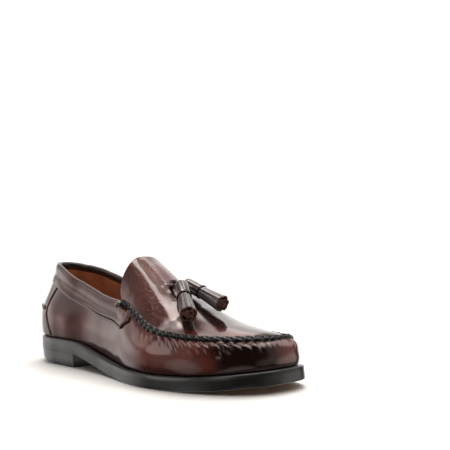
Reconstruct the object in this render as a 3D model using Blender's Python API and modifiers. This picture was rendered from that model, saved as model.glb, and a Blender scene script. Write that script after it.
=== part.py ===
"""A right-foot tassel loafer of moccasin construction, modelled empty and standing on its sole.

Metres, +X towards the toe, +Z up, -Y the outer (lateral) side. The origin is on the ground
under the middle of the heel.
"""
import math

import bmesh
import bpy
from mathutils import Vector
from mathutils.bvhtree import BVHTree

# Driving dimensions of the sole and heel
SOLE_LENGTH = 0.300
BALL_WIDTH = 0.1058
SOLE_THICKNESS = 0.0118
SOLE_BEVEL = 0.0012
HEEL_LENGTH = 0.080
HEEL_HEIGHT = 0.0132
HEEL_TAPER = 0.0012
LIFT_THICKNESS = 0.0058
TOE_SPRING = 0.0072

# Driving dimensions of the upper
WALL = 0.0020
LEDGE = 0.0030
BACK_HEIGHT = 0.0696
TOE_WALL_HEIGHT = 0.0240
CROWN_HEIGHT = 0.0395
MARGIN_WIDTH = 0.0130
FEATHER_RADIUS = 0.0016
COLLAR_SET_IN = 0.0148
SEAM_SET_IN = 0.0145
INSOLE_THICKNESS = 0.0025

# Driving dimensions of what lies on the upper
BAND_WIDTH = 0.0190
BAND_THICKNESS = 0.0016
COUNTER_WIDTH = 0.1190
COUNTER_THICKNESS = 0.0010
RIDGE_LENGTH = 0.0920
RIDGE_HEIGHT = 0.0048
RIDGE_DEPTH = 0.0022
SEAM_WIDTH = 0.0046
SEAM_RISE = 0.0026
TASSEL_LENGTH = 0.0480
CAP_DIAMETER = 0.0115
FRINGE_DIAMETER = 0.0146
LACE_WIDTH = 0.0042
LACE_THICKNESS = 0.0018

# Space between neighbouring pieces, and the extra that covers the facets of curved ones
CLEARANCE = 0.0003
FACET_EASE = 0.00015
INSOLE_SLACK = 0.0005
WELD_DISTANCE = 0.00001

# Steps for directions and walks: in stations, in shares of the wall's height
PLAN_STEP = 0.25
WALK_STEP = 0.05
HEIGHT_STEP = 0.004
HEEL_STEP = 0.002

# Stations along one side of the shoe: back to seam start, seam start to toe
REAR_STATIONS = 20
FRONT_STATIONS = 26
STATIONS = REAR_STATIONS + FRONT_STATIONS
WAIST_SHARE = 0.5
APRON_COLUMNS = 10
HEEL_COLUMNS = 14
LATERAL, MEDIAL = -1, 1

# Sole plan: share of the length, half width and midline as shares of the ball width
SOLE_PLAN = (
    (0.000, 0.340, 0.000),
    (0.160, 0.340, 0.000),
    (0.220, 0.339, -0.005),
    (0.300, 0.330, -0.019),
    (0.400, 0.325, -0.048),
    (0.500, 0.359, -0.063),
    (0.580, 0.417, -0.058),
    (0.650, 0.471, -0.034),
    (0.715, 0.500, 0.002),
    (0.800, 0.500, 0.048),
    (0.880, 0.500, 0.095),
    (0.940, 0.500, 0.130),
    (1.000, 0.500, 0.165),
)
HEEL_ROUND_SHARE, HEEL_POWER = 0.160, 2.2
TOE_ROUND_SHARE, TOE_POWER = 0.285, 2.55

# Underside of the sole: share of the length, share of the heel height, share of the toe spring
SOLE_RISE = (
    (0.000, 1.000, 0.000),
    (0.200, 1.000, 0.000),
    (0.267, 0.950, 0.000),
    (0.320, 0.780, 0.000),
    (0.380, 0.505, 0.000),
    (0.440, 0.270, 0.000),
    (0.500, 0.115, 0.000),
    (0.560, 0.030, 0.000),
    (0.610, 0.000, 0.000),
    (0.720, 0.000, 0.000),
    (0.800, 0.000, 0.105),
    (0.880, 0.000, 0.375),
    (1.000, 0.000, 1.000),
)

# Step from sole edge to upper: share of the length, lateral and medial steps as shares of LEDGE
LEDGES = (
    (0.00, 0.40, 0.40),
    (0.20, 0.90, 0.90),
    (0.36, 2.20, 1.20),
    (0.46, 2.10, 1.20),
    (0.58, 1.20, 1.10),
    (0.75, 1.00, 1.00),
    (1.00, 1.50, 1.50),
)

# Top of the side wall, collar and then seam: share of the length, half width and midline as
# shares of the ball width, height above the sole as shares of BACK_HEIGHT and TOE_WALL_HEIGHT
TOP_PLAN = (
    (0.040, 0.262, 0.000, 1.000, 0.000),
    (0.090, 0.264, 0.000, 1.008, 0.000),
    (0.140, 0.266, 0.000, 0.975, 0.000),
    (0.193, 0.266, 0.000, 0.900, 0.000),
    (0.263, 0.264, 0.000, 0.806, 0.000),
    (0.323, 0.276, 0.000, 0.775, 0.000),
    (0.383, 0.290, 0.000, 0.756, 0.000),
    (0.443, 0.303, 0.000, 0.600, 0.432),
    (0.500, 0.313, 0.000, 0.450, 0.852),
    (0.550, 0.333, -0.004, 0.330, 1.080),
    (0.607, 0.368, -0.008, 0.200, 1.190),
    (0.663, 0.400, -0.006, 0.080, 1.270),
    (0.700, 0.418, 0.000, 0.030, 1.345),
    (0.740, 0.438, 0.012, 0.000, 1.370),
    (0.800, 0.444, 0.040, 0.000, 1.290),
    (0.850, 0.444, 0.078, 0.000, 1.210),
    (0.900, 0.444, 0.125, 0.000, 1.100),
    (0.952, 0.444, 0.185, 0.000, 1.000),
)
SEAM_START_SHARE = 0.507
COLLAR_ROUND_SHARE, COLLAR_POWER = 0.200, 2.0
APRON_ROUND_SHARE, APRON_POWER = 0.195, 2.4

# Apron and tongue: share of the length at the seam, share of CROWN_HEIGHT, share of TONGUE_LEAN,
# powers of the crown's section on the lateral and medial side, and how flat it runs into the seam
CROWN = (
    (0.507, 1.000, 1.000, 2.4, 3.6, 1.00),
    (0.533, 0.905, 0.800, 2.4, 3.4, 1.00),
    (0.583, 0.810, 0.620, 2.3, 2.8, 1.00),
    (0.633, 0.722, 0.460, 2.2, 2.4, 1.00),
    (0.683, 0.638, 0.310, 2.1, 2.1, 1.10),
    (0.733, 0.517, 0.230, 2.0, 2.0, 1.25),
    (0.783, 0.377, 0.150, 2.0, 2.0, 1.30),
    (0.833, 0.270, 0.080, 2.0, 2.0, 1.30),
    (0.873, 0.212, 0.000, 2.0, 2.0, 1.30),
    (0.910, 0.165, 0.000, 2.0, 2.0, 1.30),
    (0.952, 0.090, 0.000, 2.0, 2.0, 1.30),
)
TONGUE_LEAN = 0.0130
LEAN_POWER = 8.0
TOE_BLEND_SHARE = 0.03
# How much lower the medial topline and seam run: share of the length, share of MEDIAL_DIP
DIPS = (
    (0.040, 0.00),
    (0.065, 0.30),
    (0.095, 0.85),
    (0.135, 1.00),
    (0.190, 0.85),
    (0.260, 0.40),
    (0.350, 0.10),
    (0.450, 0.00),
    (0.600, 0.00),
    (0.700, 0.30),
    (0.790, 0.90),
    (0.860, 1.00),
    (0.915, 1.00),
    (0.940, 0.55),
    (0.952, 0.00),
)
MEDIAL_DIP = 0.0040

# Side wall section: share of its height, share of the way in at the back and at the front
WALL_PROFILE = (
    (0.000, 0.000, 0.000),
    (0.080, -0.040, -0.050),
    (0.180, -0.060, -0.085),
    (0.300, -0.040, -0.070),
    (0.430, 0.120, -0.010),
    (0.560, 0.370, 0.090),
    (0.690, 0.610, 0.230),
    (0.810, 0.790, 0.420),
    (0.910, 0.910, 0.660),
    (1.000, 1.000, 1.000),
)
# Belly of the side wall: share of the length, lateral and medial, as shares of BELLY
BELLIES = (
    (0.00, 0.20, 0.20),
    (0.15, 0.50, 0.50),
    (0.30, 1.00, 0.60),
    (0.45, 1.60, 0.80),
    (0.60, 1.30, 1.20),
    (0.75, 1.00, 1.00),
    (1.00, 0.60, 0.60),
)
BELLY = 0.0020

# Front end of the collar band: stations past the seam's start, share of the wall's height where
# the band's lower and its upper edge run
BAND_FRONT = (
    (0.00, 0.000, 0.940),
    (0.55, 0.000, 0.935),
    (1.10, 0.000, 0.930),
    (1.85, 0.130, 0.928),
    (2.60, 0.250, 0.925),
)
BAND_ROWS = 4

# Counter patch round the heel: share of the way from its foot to the band, share of its width
COUNTER_SHAPE = (
    (0.00, 1.000),
    (0.12, 0.965),
    (0.22, 0.930),
    (0.34, 0.885),
    (0.46, 0.850),
    (0.58, 0.815),
    (0.72, 0.795),
    (0.86, 0.800),
    (1.00, 0.815),
)
COUNTER_FOOT_SHARE = 0.03
COUNTER_COLUMNS = 24
COUNTER_ROUNDS = 3
RIDGE_PLACE_SHARE = 0.388
RIDGE_END_POWER, RIDGE_END_TAPER = 12, 0.5
RIDGE_COLUMNS = 18

# Section of the heel ridge, a lip that is deepest at its top: share of its height and depth
RIDGE_SECTION = (
    (-0.50, 0.00),
    (0.50, 0.00),
    (0.50, 0.75),
    (0.30, 1.00),
    (-0.20, 0.80),
    (-0.50, 0.30),
)

# How far beside the seam's line the apron's slope is read, as a share of the seam's width
BESIDE_SHARE = 0.2
# Outer side of the seam's section: share of the way from apron to wall, share of its rise
SEAM_SECTION = (
    (0.00, 0.55),
    (0.20, 0.95),
    (0.50, 1.00),
    (0.80, 0.95),
    (1.00, 0.55),
)

# Tassel: share of its length, share of the way from cap to fringe radius, depth of its strips
TASSEL_PROFILE = (
    (0.000, -1.50, 0.00),
    (0.025, -0.50, 0.00),
    (0.100, 0.00, 0.05),
    (0.400, 0.00, 0.06),
    (0.430, 0.35, 0.02),
    (0.470, 0.35, 0.02),
    (0.500, 0.00, 0.10),
    (0.700, 0.35, 0.16),
    (0.900, 0.80, 0.20),
    (1.000, 1.00, 0.22),
)
TASSEL_STRIPS = 9
TASSEL_SIDES = 36

# Each tassel: its lace's slit and its cap's start in plan, as shares of the sole's length and the
# ball width, the cap's height above the apron as a share of its diameter, yaw and pitch in degrees
TASSEL_PLACES = (
    ("lateral", (0.613, -0.061), (0.668, -0.080), 1.044, -33.0, -28.5),
    ("medial", (0.593, 0.028), (0.645, 0.028), 0.699, 3.0, -19.5),
)
LACE_STEPS = 6


def smooth(rows, share, column):
    """Read a column of a table at a share, on a curve that never overshoots its rows."""
    xs = [row[0] for row in rows]
    ys = [row[column] for row in rows]
    if share <= xs[0]:
        return ys[0]
    if share >= xs[-1]:
        return ys[-1]
    slopes = [(ys[k + 1] - ys[k]) / (xs[k + 1] - xs[k]) for k in range(len(xs) - 1)]
    tangents = [slopes[0]]
    for before, after in zip(slopes, slopes[1:]):
        steady = before * after > 0
        tangents.append(2 * before * after / (before + after) if steady else 0.0)
    tangents.append(slopes[-1])
    k = max(j for j in range(len(xs) - 1) if xs[j] <= share)
    span = xs[k + 1] - xs[k]
    t = (share - xs[k]) / span
    return (ys[k] * (1 + 2 * t) * (1 - t) ** 2 + tangents[k] * span * t * (1 - t) ** 2
            + ys[k + 1] * t * t * (3 - 2 * t) + tangents[k + 1] * span * t * t * (t - 1))


def ease(value, low, high):
    """0 below low, 1 above high and a soft step between."""
    t = min(max((value - low) / (high - low), 0.0), 1.0)
    return t * t * (3 - 2 * t)


def rounded(share, start, end, start_round, start_power, end_round, end_power):
    """Share of the half width that the rounded ends of a plan leave."""
    width = 1.0
    if share < start + start_round:
        t = min((start + start_round - share) / start_round, 1.0)
        width *= (1 - t ** start_power) ** (1 / start_power)
    if share > end - end_round:
        t = min((share - end + end_round) / end_round, 1.0)
        width *= (1 - t ** end_power) ** (1 / end_power)
    return width


def folded(station, side):
    """Carry a station past the back or the toe over to the other side."""
    if station < 0:
        return -station, -side
    if station > STATIONS:
        return 2 * STATIONS - station, -side
    return station, side


def station_share(station, start, middle, end):
    """Share of the length at a station, close together at the back and at the toe."""
    if station <= REAR_STATIONS:
        turn = math.pi / 2 * station / REAR_STATIONS
        return start + (middle - start) * (1 - math.cos(turn))
    turn = math.pi / 2 * (station - REAR_STATIONS) / FRONT_STATIONS
    return middle + (end - middle) * math.sin(turn)


def sole_rise(share):
    """Height of the sole's underside above the ground."""
    return smooth(SOLE_RISE, share, 1) * HEEL_HEIGHT + smooth(SOLE_RISE, share, 2) * TOE_SPRING


def sole_top(share):
    return sole_rise(share) + SOLE_THICKNESS


def sole_edge(share, side):
    """A point of the sole's outline, from the back of the sole."""
    width = rounded(share, 0.0, 1.0, HEEL_ROUND_SHARE, HEEL_POWER, TOE_ROUND_SHARE, TOE_POWER)
    half = smooth(SOLE_PLAN, share, 1) * width
    return Vector((share * SOLE_LENGTH, (smooth(SOLE_PLAN, share, 2) + side * half) * BALL_WIDTH))


def sole_station(station, side):
    station, side = folded(station, side)
    return sole_edge(station_share(station, 0.0, WAIST_SHARE, 1.0), side)


def outward(station, side):
    """The sole outline's outward direction in plan."""
    along = sole_station(station + PLAN_STEP, side) - sole_station(station - PLAN_STEP, side)
    return Vector((-along.y, along.x)).normalized() * side


def inset_station(station, side, distance):
    """A point set in from the sole's outline."""
    return sole_station(station, side) - outward(station, side) * distance


def ledge(station, side):
    """Step from the sole's edge to the upper, the same from both sides at back and toe."""
    share = station_share(station, 0.0, WAIST_SHARE, 1.0)
    column = 1 if side == LATERAL or station in (0, STATIONS) else 2
    return smooth(LEDGES, share, column) * LEDGE


def feather(station, side):
    """The line where the upper meets the sole, in plan."""
    station, side = folded(station, side)
    return inset_station(station, side, ledge(station, side))


def top_share(station):
    toe = 1.0 - SEAM_SET_IN / SOLE_LENGTH
    return station_share(station, COLLAR_SET_IN / SOLE_LENGTH, SEAM_START_SHARE, toe)


def top_line(station, side):
    """The collar's edge and, forward of the tongue, the apron seam."""
    station, side = folded(station, side)
    share = top_share(station)
    start, end = top_share(0), top_share(STATIONS)
    width = rounded(share, start, end, COLLAR_ROUND_SHARE, COLLAR_POWER, APRON_ROUND_SHARE, APRON_POWER)
    half = smooth(TOP_PLAN, share, 1) * width
    across = (smooth(TOP_PLAN, share, 2) + side * half) * BALL_WIDTH
    height = (smooth(TOP_PLAN, share, 3) * BACK_HEIGHT
              + smooth(TOP_PLAN, share, 4) * TOE_WALL_HEIGHT)
    if side == MEDIAL:
        height -= smooth(DIPS, share, 1) * MEDIAL_DIP
    return Vector((share * SOLE_LENGTH, across, sole_top(share) + height))


def wall_point(station, side, share_up):
    """A point of the upper's outer face between the feather line and the top line."""
    station, side = folded(station, side)
    low, high = feather(station, side), top_line(station, side)
    base = low.x / SOLE_LENGTH
    front = ease(station, REAR_STATIONS - 5, REAR_STATIONS + 6)
    inward = ((1 - front) * smooth(WALL_PROFILE, share_up, 1)
              + front * smooth(WALL_PROFILE, share_up, 2))
    belly = smooth(BELLIES, base, 1 if side == LATERAL else 2) * BELLY
    swell = outward(station, side) * belly * math.sin(math.pi * share_up ** 0.8)
    plan = low.lerp(high.xy, inward) + swell
    foot = sole_top(base) + CLEARANCE
    return Vector((plan.x, plan.y, foot + (high.z - foot) * share_up))


def apron_point(station, across):
    """A point of the apron's or tongue's outer face; across runs from 0, lateral, to 1."""
    left, right = top_line(station, LATERAL), top_line(station, MEDIAL)
    share = top_share(station)
    point = left.lerp(right, across)
    off_centre = abs(2 * across - 1)
    power = smooth(CROWN, share, 3 if across < 0.5 else 4)
    arch = (1 - off_centre ** power) ** smooth(CROWN, share, 5)
    short = min((top_share(STATIONS) - share) / TOE_BLEND_SHARE, 1.0)
    point.z += smooth(CROWN, share, 1) * CROWN_HEIGHT * arch * math.sqrt(short * (2 - short))
    point.x -= smooth(CROWN, share, 2) * TONGUE_LEAN * (1 - off_centre ** LEAN_POWER)
    return point


def wall_normal(station, side, share_up):
    """The wall's own outward direction; the station may pass the back or the toe."""
    station, side = folded(station, side)
    along = (wall_point(station + WALK_STEP, side, share_up)
             - wall_point(station - WALK_STEP, side, share_up))
    up = (wall_point(station, side, min(share_up + HEIGHT_STEP, 1))
          - wall_point(station, side, max(share_up - HEIGHT_STEP, 0)))
    return along.cross(up).normalized() * -side


def lifted_wall(station, side, share_up, distance):
    """A point of the wall moved outward."""
    return (wall_point(station, side, share_up)
            + wall_normal(station, side, share_up) * distance)


def wall_height(station):
    return (wall_point(station, LATERAL, 1) - wall_point(station, LATERAL, 0)).z


def round_the_back(share_up, reach):
    """The station at a distance along the wall from the middle of the back."""
    station, walked = 0.0, 0.0
    here = wall_point(station, LATERAL, share_up)
    while walked < reach:
        station += WALK_STEP
        after = wall_point(station, LATERAL, share_up)
        walked += (after - here).length
        here = after
    return station


def placed(point):
    """Move a point from the back of the sole to the part's own origin."""
    return Vector((point[0] - HEEL_LENGTH / 2, point[1], point[2]))


def material(name, colour, roughness, coat=0.0):
    made = bpy.data.materials.new(name)
    made.use_nodes = True
    shader = made.node_tree.nodes["Principled BSDF"]
    shader.inputs["Base Color"].default_value = (*colour, 1.0)
    shader.inputs["Roughness"].default_value = roughness
    shader.inputs["Metallic"].default_value = 0.0
    shader.inputs["Coat Weight"].default_value = coat
    return made


def new_object(name, points, faces, finish, collection, sharp_angle=35.0):
    mesh = bpy.data.meshes.new(name)
    mesh.from_pydata([placed(point) for point in points], [], faces)
    shaped = bmesh.new()
    shaped.from_mesh(mesh)
    bmesh.ops.remove_doubles(shaped, verts=shaped.verts, dist=WELD_DISTANCE)
    bmesh.ops.recalc_face_normals(shaped, faces=shaped.faces)
    shaped.to_mesh(mesh)
    shaped.free()
    mesh.shade_smooth()
    mesh.set_sharp_from_angle(angle=math.radians(sharp_angle))
    mesh.materials.append(finish)
    made = bpy.data.objects.new(name, mesh)
    collection.objects.link(made)
    return made


def thicken(made, thickness, offset):
    """Turn an open surface into a wall, inward with offset -1 and outward with offset 1."""
    wall = made.modifiers.new("wall", "SOLIDIFY")
    wall.thickness = thickness
    wall.offset = offset
    wall.use_even_offset = True


def grid_faces(rows, columns, closed=False):
    """Faces of a grid whose points are listed row by row."""
    faces = []
    last = columns if closed else columns - 1
    for row in range(rows - 1):
        for column in range(last):
            after = (column + 1) % columns
            near, far = row * columns, (row + 1) * columns
            faces.append((near + column, near + after, far + after, far + column))
    return faces


def loft(name, rings, finish, collection, cap="pairs"):
    """Skin a stack of closed rings; pairs caps them with strips across, fan with one face."""
    count = len(rings[0])
    points = [point for ring in rings for point in ring]
    faces = grid_faces(len(rings), count, closed=True)
    for base in (0, count * (len(rings) - 1)):
        if cap == "fan":
            faces.append(tuple(base + k for k in range(count)))
            continue
        for k in range(count // 2):
            corners = [base + k, base + k + 1, base + (count - k - 1) % count, base + (count - k) % count]
            faces.append(tuple(dict.fromkeys(corners)))
    return new_object(name, points, faces, finish, collection)


def round_trip():
    """Every station once: back, lateral side, toe, medial side."""
    stations = [(k, LATERAL) for k in range(STATIONS + 1)]
    return stations + [(k, MEDIAL) for k in range(STATIONS - 1, 0, -1)]


def plan_ring(distance, height):
    """A closed ring inside the sole's outline; distance is a number or depends on the station."""
    ring = []
    for station, side in round_trip():
        inset = distance(station, side) if callable(distance) else distance
        plan = inset_station(station, side, inset)
        ring.append(Vector((plan.x, plan.y, height(plan.x / SOLE_LENGTH))))
    return ring


def make_outsole(finish, collection):
    rings = [
        plan_ring(SOLE_BEVEL / 2, sole_rise),
        plan_ring(0.0, lambda share: sole_rise(share) + SOLE_BEVEL / 2),
        plan_ring(0.0, lambda share: sole_top(share) - SOLE_BEVEL),
        plan_ring(SOLE_BEVEL * 0.3, lambda share: sole_top(share) - SOLE_BEVEL * 0.3),
        plan_ring(SOLE_BEVEL, sole_top),
    ]
    return loft("outsole", rings, finish, collection)


def heel_ring(distance, height):
    """A closed ring of the heel: round at the back, straight across the breast."""
    breast = HEEL_LENGTH / SOLE_LENGTH
    turns = [math.pi / 2 * k / HEEL_COLUMNS for k in range(HEEL_COLUMNS + 1)]
    shares = [breast * (1 - math.cos(turn)) for turn in turns]
    ring = []
    for side, chosen in ((LATERAL, shares), (MEDIAL, shares[:0:-1])):
        for share in chosen:
            edge = sole_edge(share, side)
            if share == 0:
                normal = Vector((-1.0, 0.0))
            else:
                before = sole_edge(max(share - HEEL_STEP, 0), side)
                along = sole_edge(share + HEEL_STEP, side) - before
                normal = Vector((-along.y, along.x)).normalized() * side
            plan = edge - normal * distance
            forward = min(plan.x, HEEL_LENGTH - distance)
            ring.append(Vector((forward, plan.y, height(forward / SOLE_LENGTH))))
    return ring


def make_heel(stack_finish, lift_finish, collection):
    lift_top = lambda share: LIFT_THICKNESS
    stack_foot = lambda share: LIFT_THICKNESS + CLEARANCE
    stack_top = lambda share: sole_rise(share) - CLEARANCE
    rings = [heel_ring(HEEL_TAPER, stack_foot), heel_ring(HEEL_TAPER / 2, stack_top)]
    loft("heel_stack", rings, stack_finish, collection)
    rings = [heel_ring(HEEL_TAPER * 1.8, lambda share: 0.0), heel_ring(HEEL_TAPER, lift_top)]
    loft("top_lift", rings, lift_finish, collection)


def make_insole(finish, collection):
    """The inner sole, just above the margin of the upper and clear of its wall."""
    foot = WALL + 2 * CLEARANCE
    inset = lambda station, side: ledge(station, side) + WALL + FEATHER_RADIUS + INSOLE_SLACK
    rings = [plan_ring(inset, lambda share: sole_top(share) + foot),
             plan_ring(inset, lambda share: sole_top(share) + foot + INSOLE_THICKNESS)]
    loft("insole", rings, finish, collection)


def make_upper(finish, collection):
    """One open surface, margin to topline with apron and tongue, thickened inward."""
    shares_up = [row[0] for row in WALL_PROFILE]
    stations = round_trip()
    count = len(stations)
    points = []
    for inset in (MARGIN_WIDTH, FEATHER_RADIUS / 2):
        for station, side in stations:
            plan = feather(station, side) - outward(station, side) * inset
            points.append(Vector((plan.x, plan.y, sole_top(plan.x / SOLE_LENGTH) + CLEARANCE)))
    for share_up in [shares_up[1] / 4] + shares_up[1:]:
        points += [wall_point(station, side, share_up) for station, side in stations]
    rings = len(points) // count
    faces = grid_faces(rings, count, closed=True)
    top = (rings - 1) * count
    rows = []
    for station in range(REAR_STATIONS, STATIONS):
        row = [top + station]
        for column in range(1, APRON_COLUMNS):
            row.append(len(points))
            points.append(apron_point(station, column / APRON_COLUMNS))
        row.append(top + count - station)
        rows.append(row)
    for near, far in zip(rows, rows[1:]):
        for k in range(APRON_COLUMNS):
            faces.append((near[k], near[k + 1], far[k + 1], far[k]))
    toe = top + STATIONS
    for k in range(APRON_COLUMNS):
        faces.append((rows[-1][k], rows[-1][k + 1], toe))
    made = new_object("upper", points, faces, finish, collection, sharp_angle=50.0)
    thicken(made, WALL, -1.0)
    return made


def make_collar_band(finish, collection):
    """The band round the topline, from one front end round the back to the other."""
    front = [REAR_STATIONS + row[0] for row in BAND_FRONT]
    half = list(range(REAR_STATIONS)) + front
    points = []
    for row in range(BAND_ROWS + 1):
        for station in [-place for place in reversed(half[1:])] + half:
            forward = abs(station) - REAR_STATIONS
            low = 1 - BAND_WIDTH / wall_height(abs(station))
            high = 1.0
            if forward >= 0:
                low += smooth(BAND_FRONT, forward, 1)
                high = smooth(BAND_FRONT, forward, 2)
            share_up = low + (high - low) * row / BAND_ROWS
            points.append(lifted_wall(station, LATERAL, share_up, CLEARANCE + FACET_EASE))
    columns = 2 * len(half) - 1
    faces = grid_faces(BAND_ROWS + 1, columns)
    made = new_object("collar_band", points, faces, finish, collection)
    thicken(made, BAND_THICKNESS, 1.0)


def make_heel_counter(finish, collection):
    """The hourglass patch round the heel; a point's height and station are found in rounds."""
    points = []
    for along, width in COUNTER_SHAPE:
        for column in range(COUNTER_COLUMNS + 1):
            across = 2 * column / COUNTER_COLUMNS - 1
            reach = abs(across) * width * COUNTER_WIDTH / 2
            share_up = along / 2
            for _ in range(COUNTER_ROUNDS):
                station = round_the_back(share_up, reach)
                top = 1 - (BAND_WIDTH + BAND_THICKNESS / 2) / wall_height(station)
                share_up = COUNTER_FOOT_SHARE + (top - COUNTER_FOOT_SHARE) * along
            station = math.copysign(station, across)
            points.append(lifted_wall(station, LATERAL, share_up, CLEARANCE + FACET_EASE))
    faces = grid_faces(len(COUNTER_SHAPE), COUNTER_COLUMNS + 1)
    made = new_object("heel_counter", points, faces, finish, collection)
    thicken(made, COUNTER_THICKNESS, 1.0)


def make_heel_ridge(finish, collection):
    """The raised seam across the counter patch."""
    foot = 2 * (CLEARANCE + FACET_EASE) + COUNTER_THICKNESS
    rings = []
    for column in range(RIDGE_COLUMNS + 1):
        across = 2 * column / RIDGE_COLUMNS - 1
        slim = 1 - RIDGE_END_TAPER * across ** RIDGE_END_POWER
        reach = abs(across) * RIDGE_LENGTH / 2
        station = math.copysign(round_the_back(RIDGE_PLACE_SHARE, reach), across)
        ring = []
        for up, out in RIDGE_SECTION:
            share_up = RIDGE_PLACE_SHARE + up * slim * RIDGE_HEIGHT / wall_height(0)
            ring.append(lifted_wall(station, LATERAL, share_up, foot + out * slim * RIDGE_DEPTH))
        rings.append(ring)
    loft("heel_ridge", rings, finish, collection, cap="fan")


def unplaced(point):
    """Move a point from the part's own origin to the back of the sole."""
    return Vector((point[0] + HEEL_LENGTH / 2, point[1], point[2]))


def surface_tree(made):
    """A search tree over a finished object's faces."""
    bpy.context.view_layer.update()
    return BVHTree.FromObject(made, bpy.context.evaluated_depsgraph_get())


def surface_under(tree, shares):
    """The outer face under a place in plan, given in shares: its point and outward direction."""
    above = placed((shares[0] * SOLE_LENGTH, shares[1] * BALL_WIDTH, SOLE_LENGTH))
    hit, normal = tree.ray_cast(above, Vector((0, 0, -1)))[:2]
    return unplaced(hit), normal


def seam_section(tree, station, side):
    """A closed section of the apron seam: over the apron's edge, the corner and the wall's top."""
    edge = top_line(station, side)
    along = top_line(station + PLAN_STEP, side) - top_line(station - PLAN_STEP, side)
    inward = Vector((along.y, -along.x)).normalized() * side
    plan = edge.xy + inward * SEAM_WIDTH * BESIDE_SHARE
    beside = surface_under(tree, (plan.x / SOLE_LENGTH, plan.y / BALL_WIDTH))[0]
    reach = edge + (beside - edge).normalized() * SEAM_WIDTH / 2
    hit, apron_normal = tree.find_nearest(placed(reach))[:2]
    share_up = 1 - SEAM_WIDTH / 2 / wall_height(folded(station, side)[0])
    wall_side = lifted_wall(station, side, share_up, CLEARANCE + FACET_EASE)
    side_normal = wall_normal(station, side, share_up)
    apron_side = unplaced(hit) + apron_normal * (CLEARANCE + FACET_EASE)
    middle = (apron_normal + side_normal).normalized()
    corner = edge + middle * (CLEARANCE + 3 * FACET_EASE)
    control = 2 * corner - (apron_side + wall_side) / 2
    section = [apron_side, corner, wall_side]
    for across, rise in reversed(SEAM_SECTION):
        base = (apron_side * (1 - across) ** 2 + control * 2 * across * (1 - across)
                + wall_side * across ** 2)
        section.append(base + apron_normal.lerp(side_normal, across).normalized() * rise * SEAM_RISE)
    return section


def make_apron_seam(tree, finish, collection):
    """The raised seam, from the tongue round the toe and back."""
    path = [(k, LATERAL) for k in range(REAR_STATIONS, STATIONS + 1)]
    path += [(k, MEDIAL) for k in range(STATIONS - 1, REAR_STATIONS - 1, -1)]
    rings = [seam_section(tree, station, side) for station, side in path]
    loft("apron_seam", rings, finish, collection, cap="fan")


def tassel_axes(yaw, pitch):
    """Along, across and above a tassel that points forward and down."""
    turn, tip = math.radians(yaw), math.radians(pitch)
    along = Vector((math.cos(tip) * math.cos(turn), math.cos(tip) * math.sin(turn), math.sin(tip)))
    across = Vector((-math.sin(turn), math.cos(turn), 0))
    return along, across, along.cross(across)


def make_tassel(name, start, axes, finish, collection):
    """One solid of a cap, a ring and a flared fringe whose strips show at its edge."""
    along, across, above = axes
    rings = []
    for share, widen, depth in TASSEL_PROFILE:
        radius = (CAP_DIAMETER + widen * (FRINGE_DIAMETER - CAP_DIAMETER)) / 2
        ring = []
        for k in range(TASSEL_SIDES):
            turn = 2 * math.pi * k / TASSEL_SIDES
            reach = radius * (1 - depth * (1 + math.cos(TASSEL_STRIPS * turn)) / 2)
            spoke = across * math.cos(turn) + above * math.sin(turn)
            ring.append(start + along * share * TASSEL_LENGTH + spoke * reach)
        rings.append(ring)
    loft(name, rings, finish, collection, cap="fan")


def make_lace(tree, name, slit, start, axes, finish, collection):
    """The flat strap from its slit in the tongue up to the tassel's cap."""
    along, across, above = axes
    foot, normal = surface_under(tree, slit)
    first = foot + normal * (CLEARANCE + FACET_EASE + LACE_THICKNESS / 2)
    last = start - along * CLEARANCE
    control = first.lerp(last, 0.5) + normal * LACE_THICKNESS
    rings = []
    for k in range(LACE_STEPS + 1):
        t = k / LACE_STEPS
        centre = first * (1 - t) ** 2 + control * 2 * t * (1 - t) + last * t * t
        heading = ((control - first) * (1 - t) + (last - control) * t).normalized()
        if k == LACE_STEPS:
            heading = along
        wide = across * LACE_WIDTH / 2
        thick = heading.cross(across).normalized() * LACE_THICKNESS / 2
        rings.append([centre - wide - thick, centre + wide - thick,
                      centre + wide + thick, centre - wide + thick])
    loft(name, rings, finish, collection, cap="fan")


def main():
    for old in list(bpy.data.objects):
        bpy.data.objects.remove(old)
    loafer = bpy.data.collections.new("tassel_loafer")
    bpy.context.scene.collection.children.link(loafer)
    black_edge = material("sole_black", (0.012, 0.011, 0.011), 0.32)
    black_rubber = material("lift_rubber", (0.015, 0.015, 0.015), 0.55)
    tan = material("insole_tan", (0.42, 0.19, 0.07), 0.5)
    burgundy = material("burgundy_leather", (0.085, 0.022, 0.018), 0.22, coat=0.5)
    dark = material("dark_trim", (0.030, 0.016, 0.014), 0.3, coat=0.3)
    tassel_finish = material("tassel_leather", (0.075, 0.022, 0.018), 0.3, coat=0.3)
    make_outsole(black_edge, loafer)
    make_heel(black_edge, black_rubber, loafer)
    make_insole(tan, loafer)
    upper = make_upper(burgundy, loafer)
    make_collar_band(burgundy, loafer)
    make_heel_counter(burgundy, loafer)
    make_heel_ridge(dark, loafer)
    tree = surface_tree(upper)
    make_apron_seam(tree, dark, loafer)
    for side, slit, start, lift, yaw, pitch in TASSEL_PLACES:
        axes = tassel_axes(yaw, pitch)
        cap = surface_under(tree, start)[0] + Vector((0, 0, lift * CAP_DIAMETER))
        make_tassel("tassel_" + side, cap, axes, tassel_finish, loafer)
        make_lace(tree, "tassel_lace_" + side, slit, cap, axes, dark, loafer)


main()
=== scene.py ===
import math

import bmesh
import bpy
import numpy as np
from mathutils import Matrix, Vector


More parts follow.
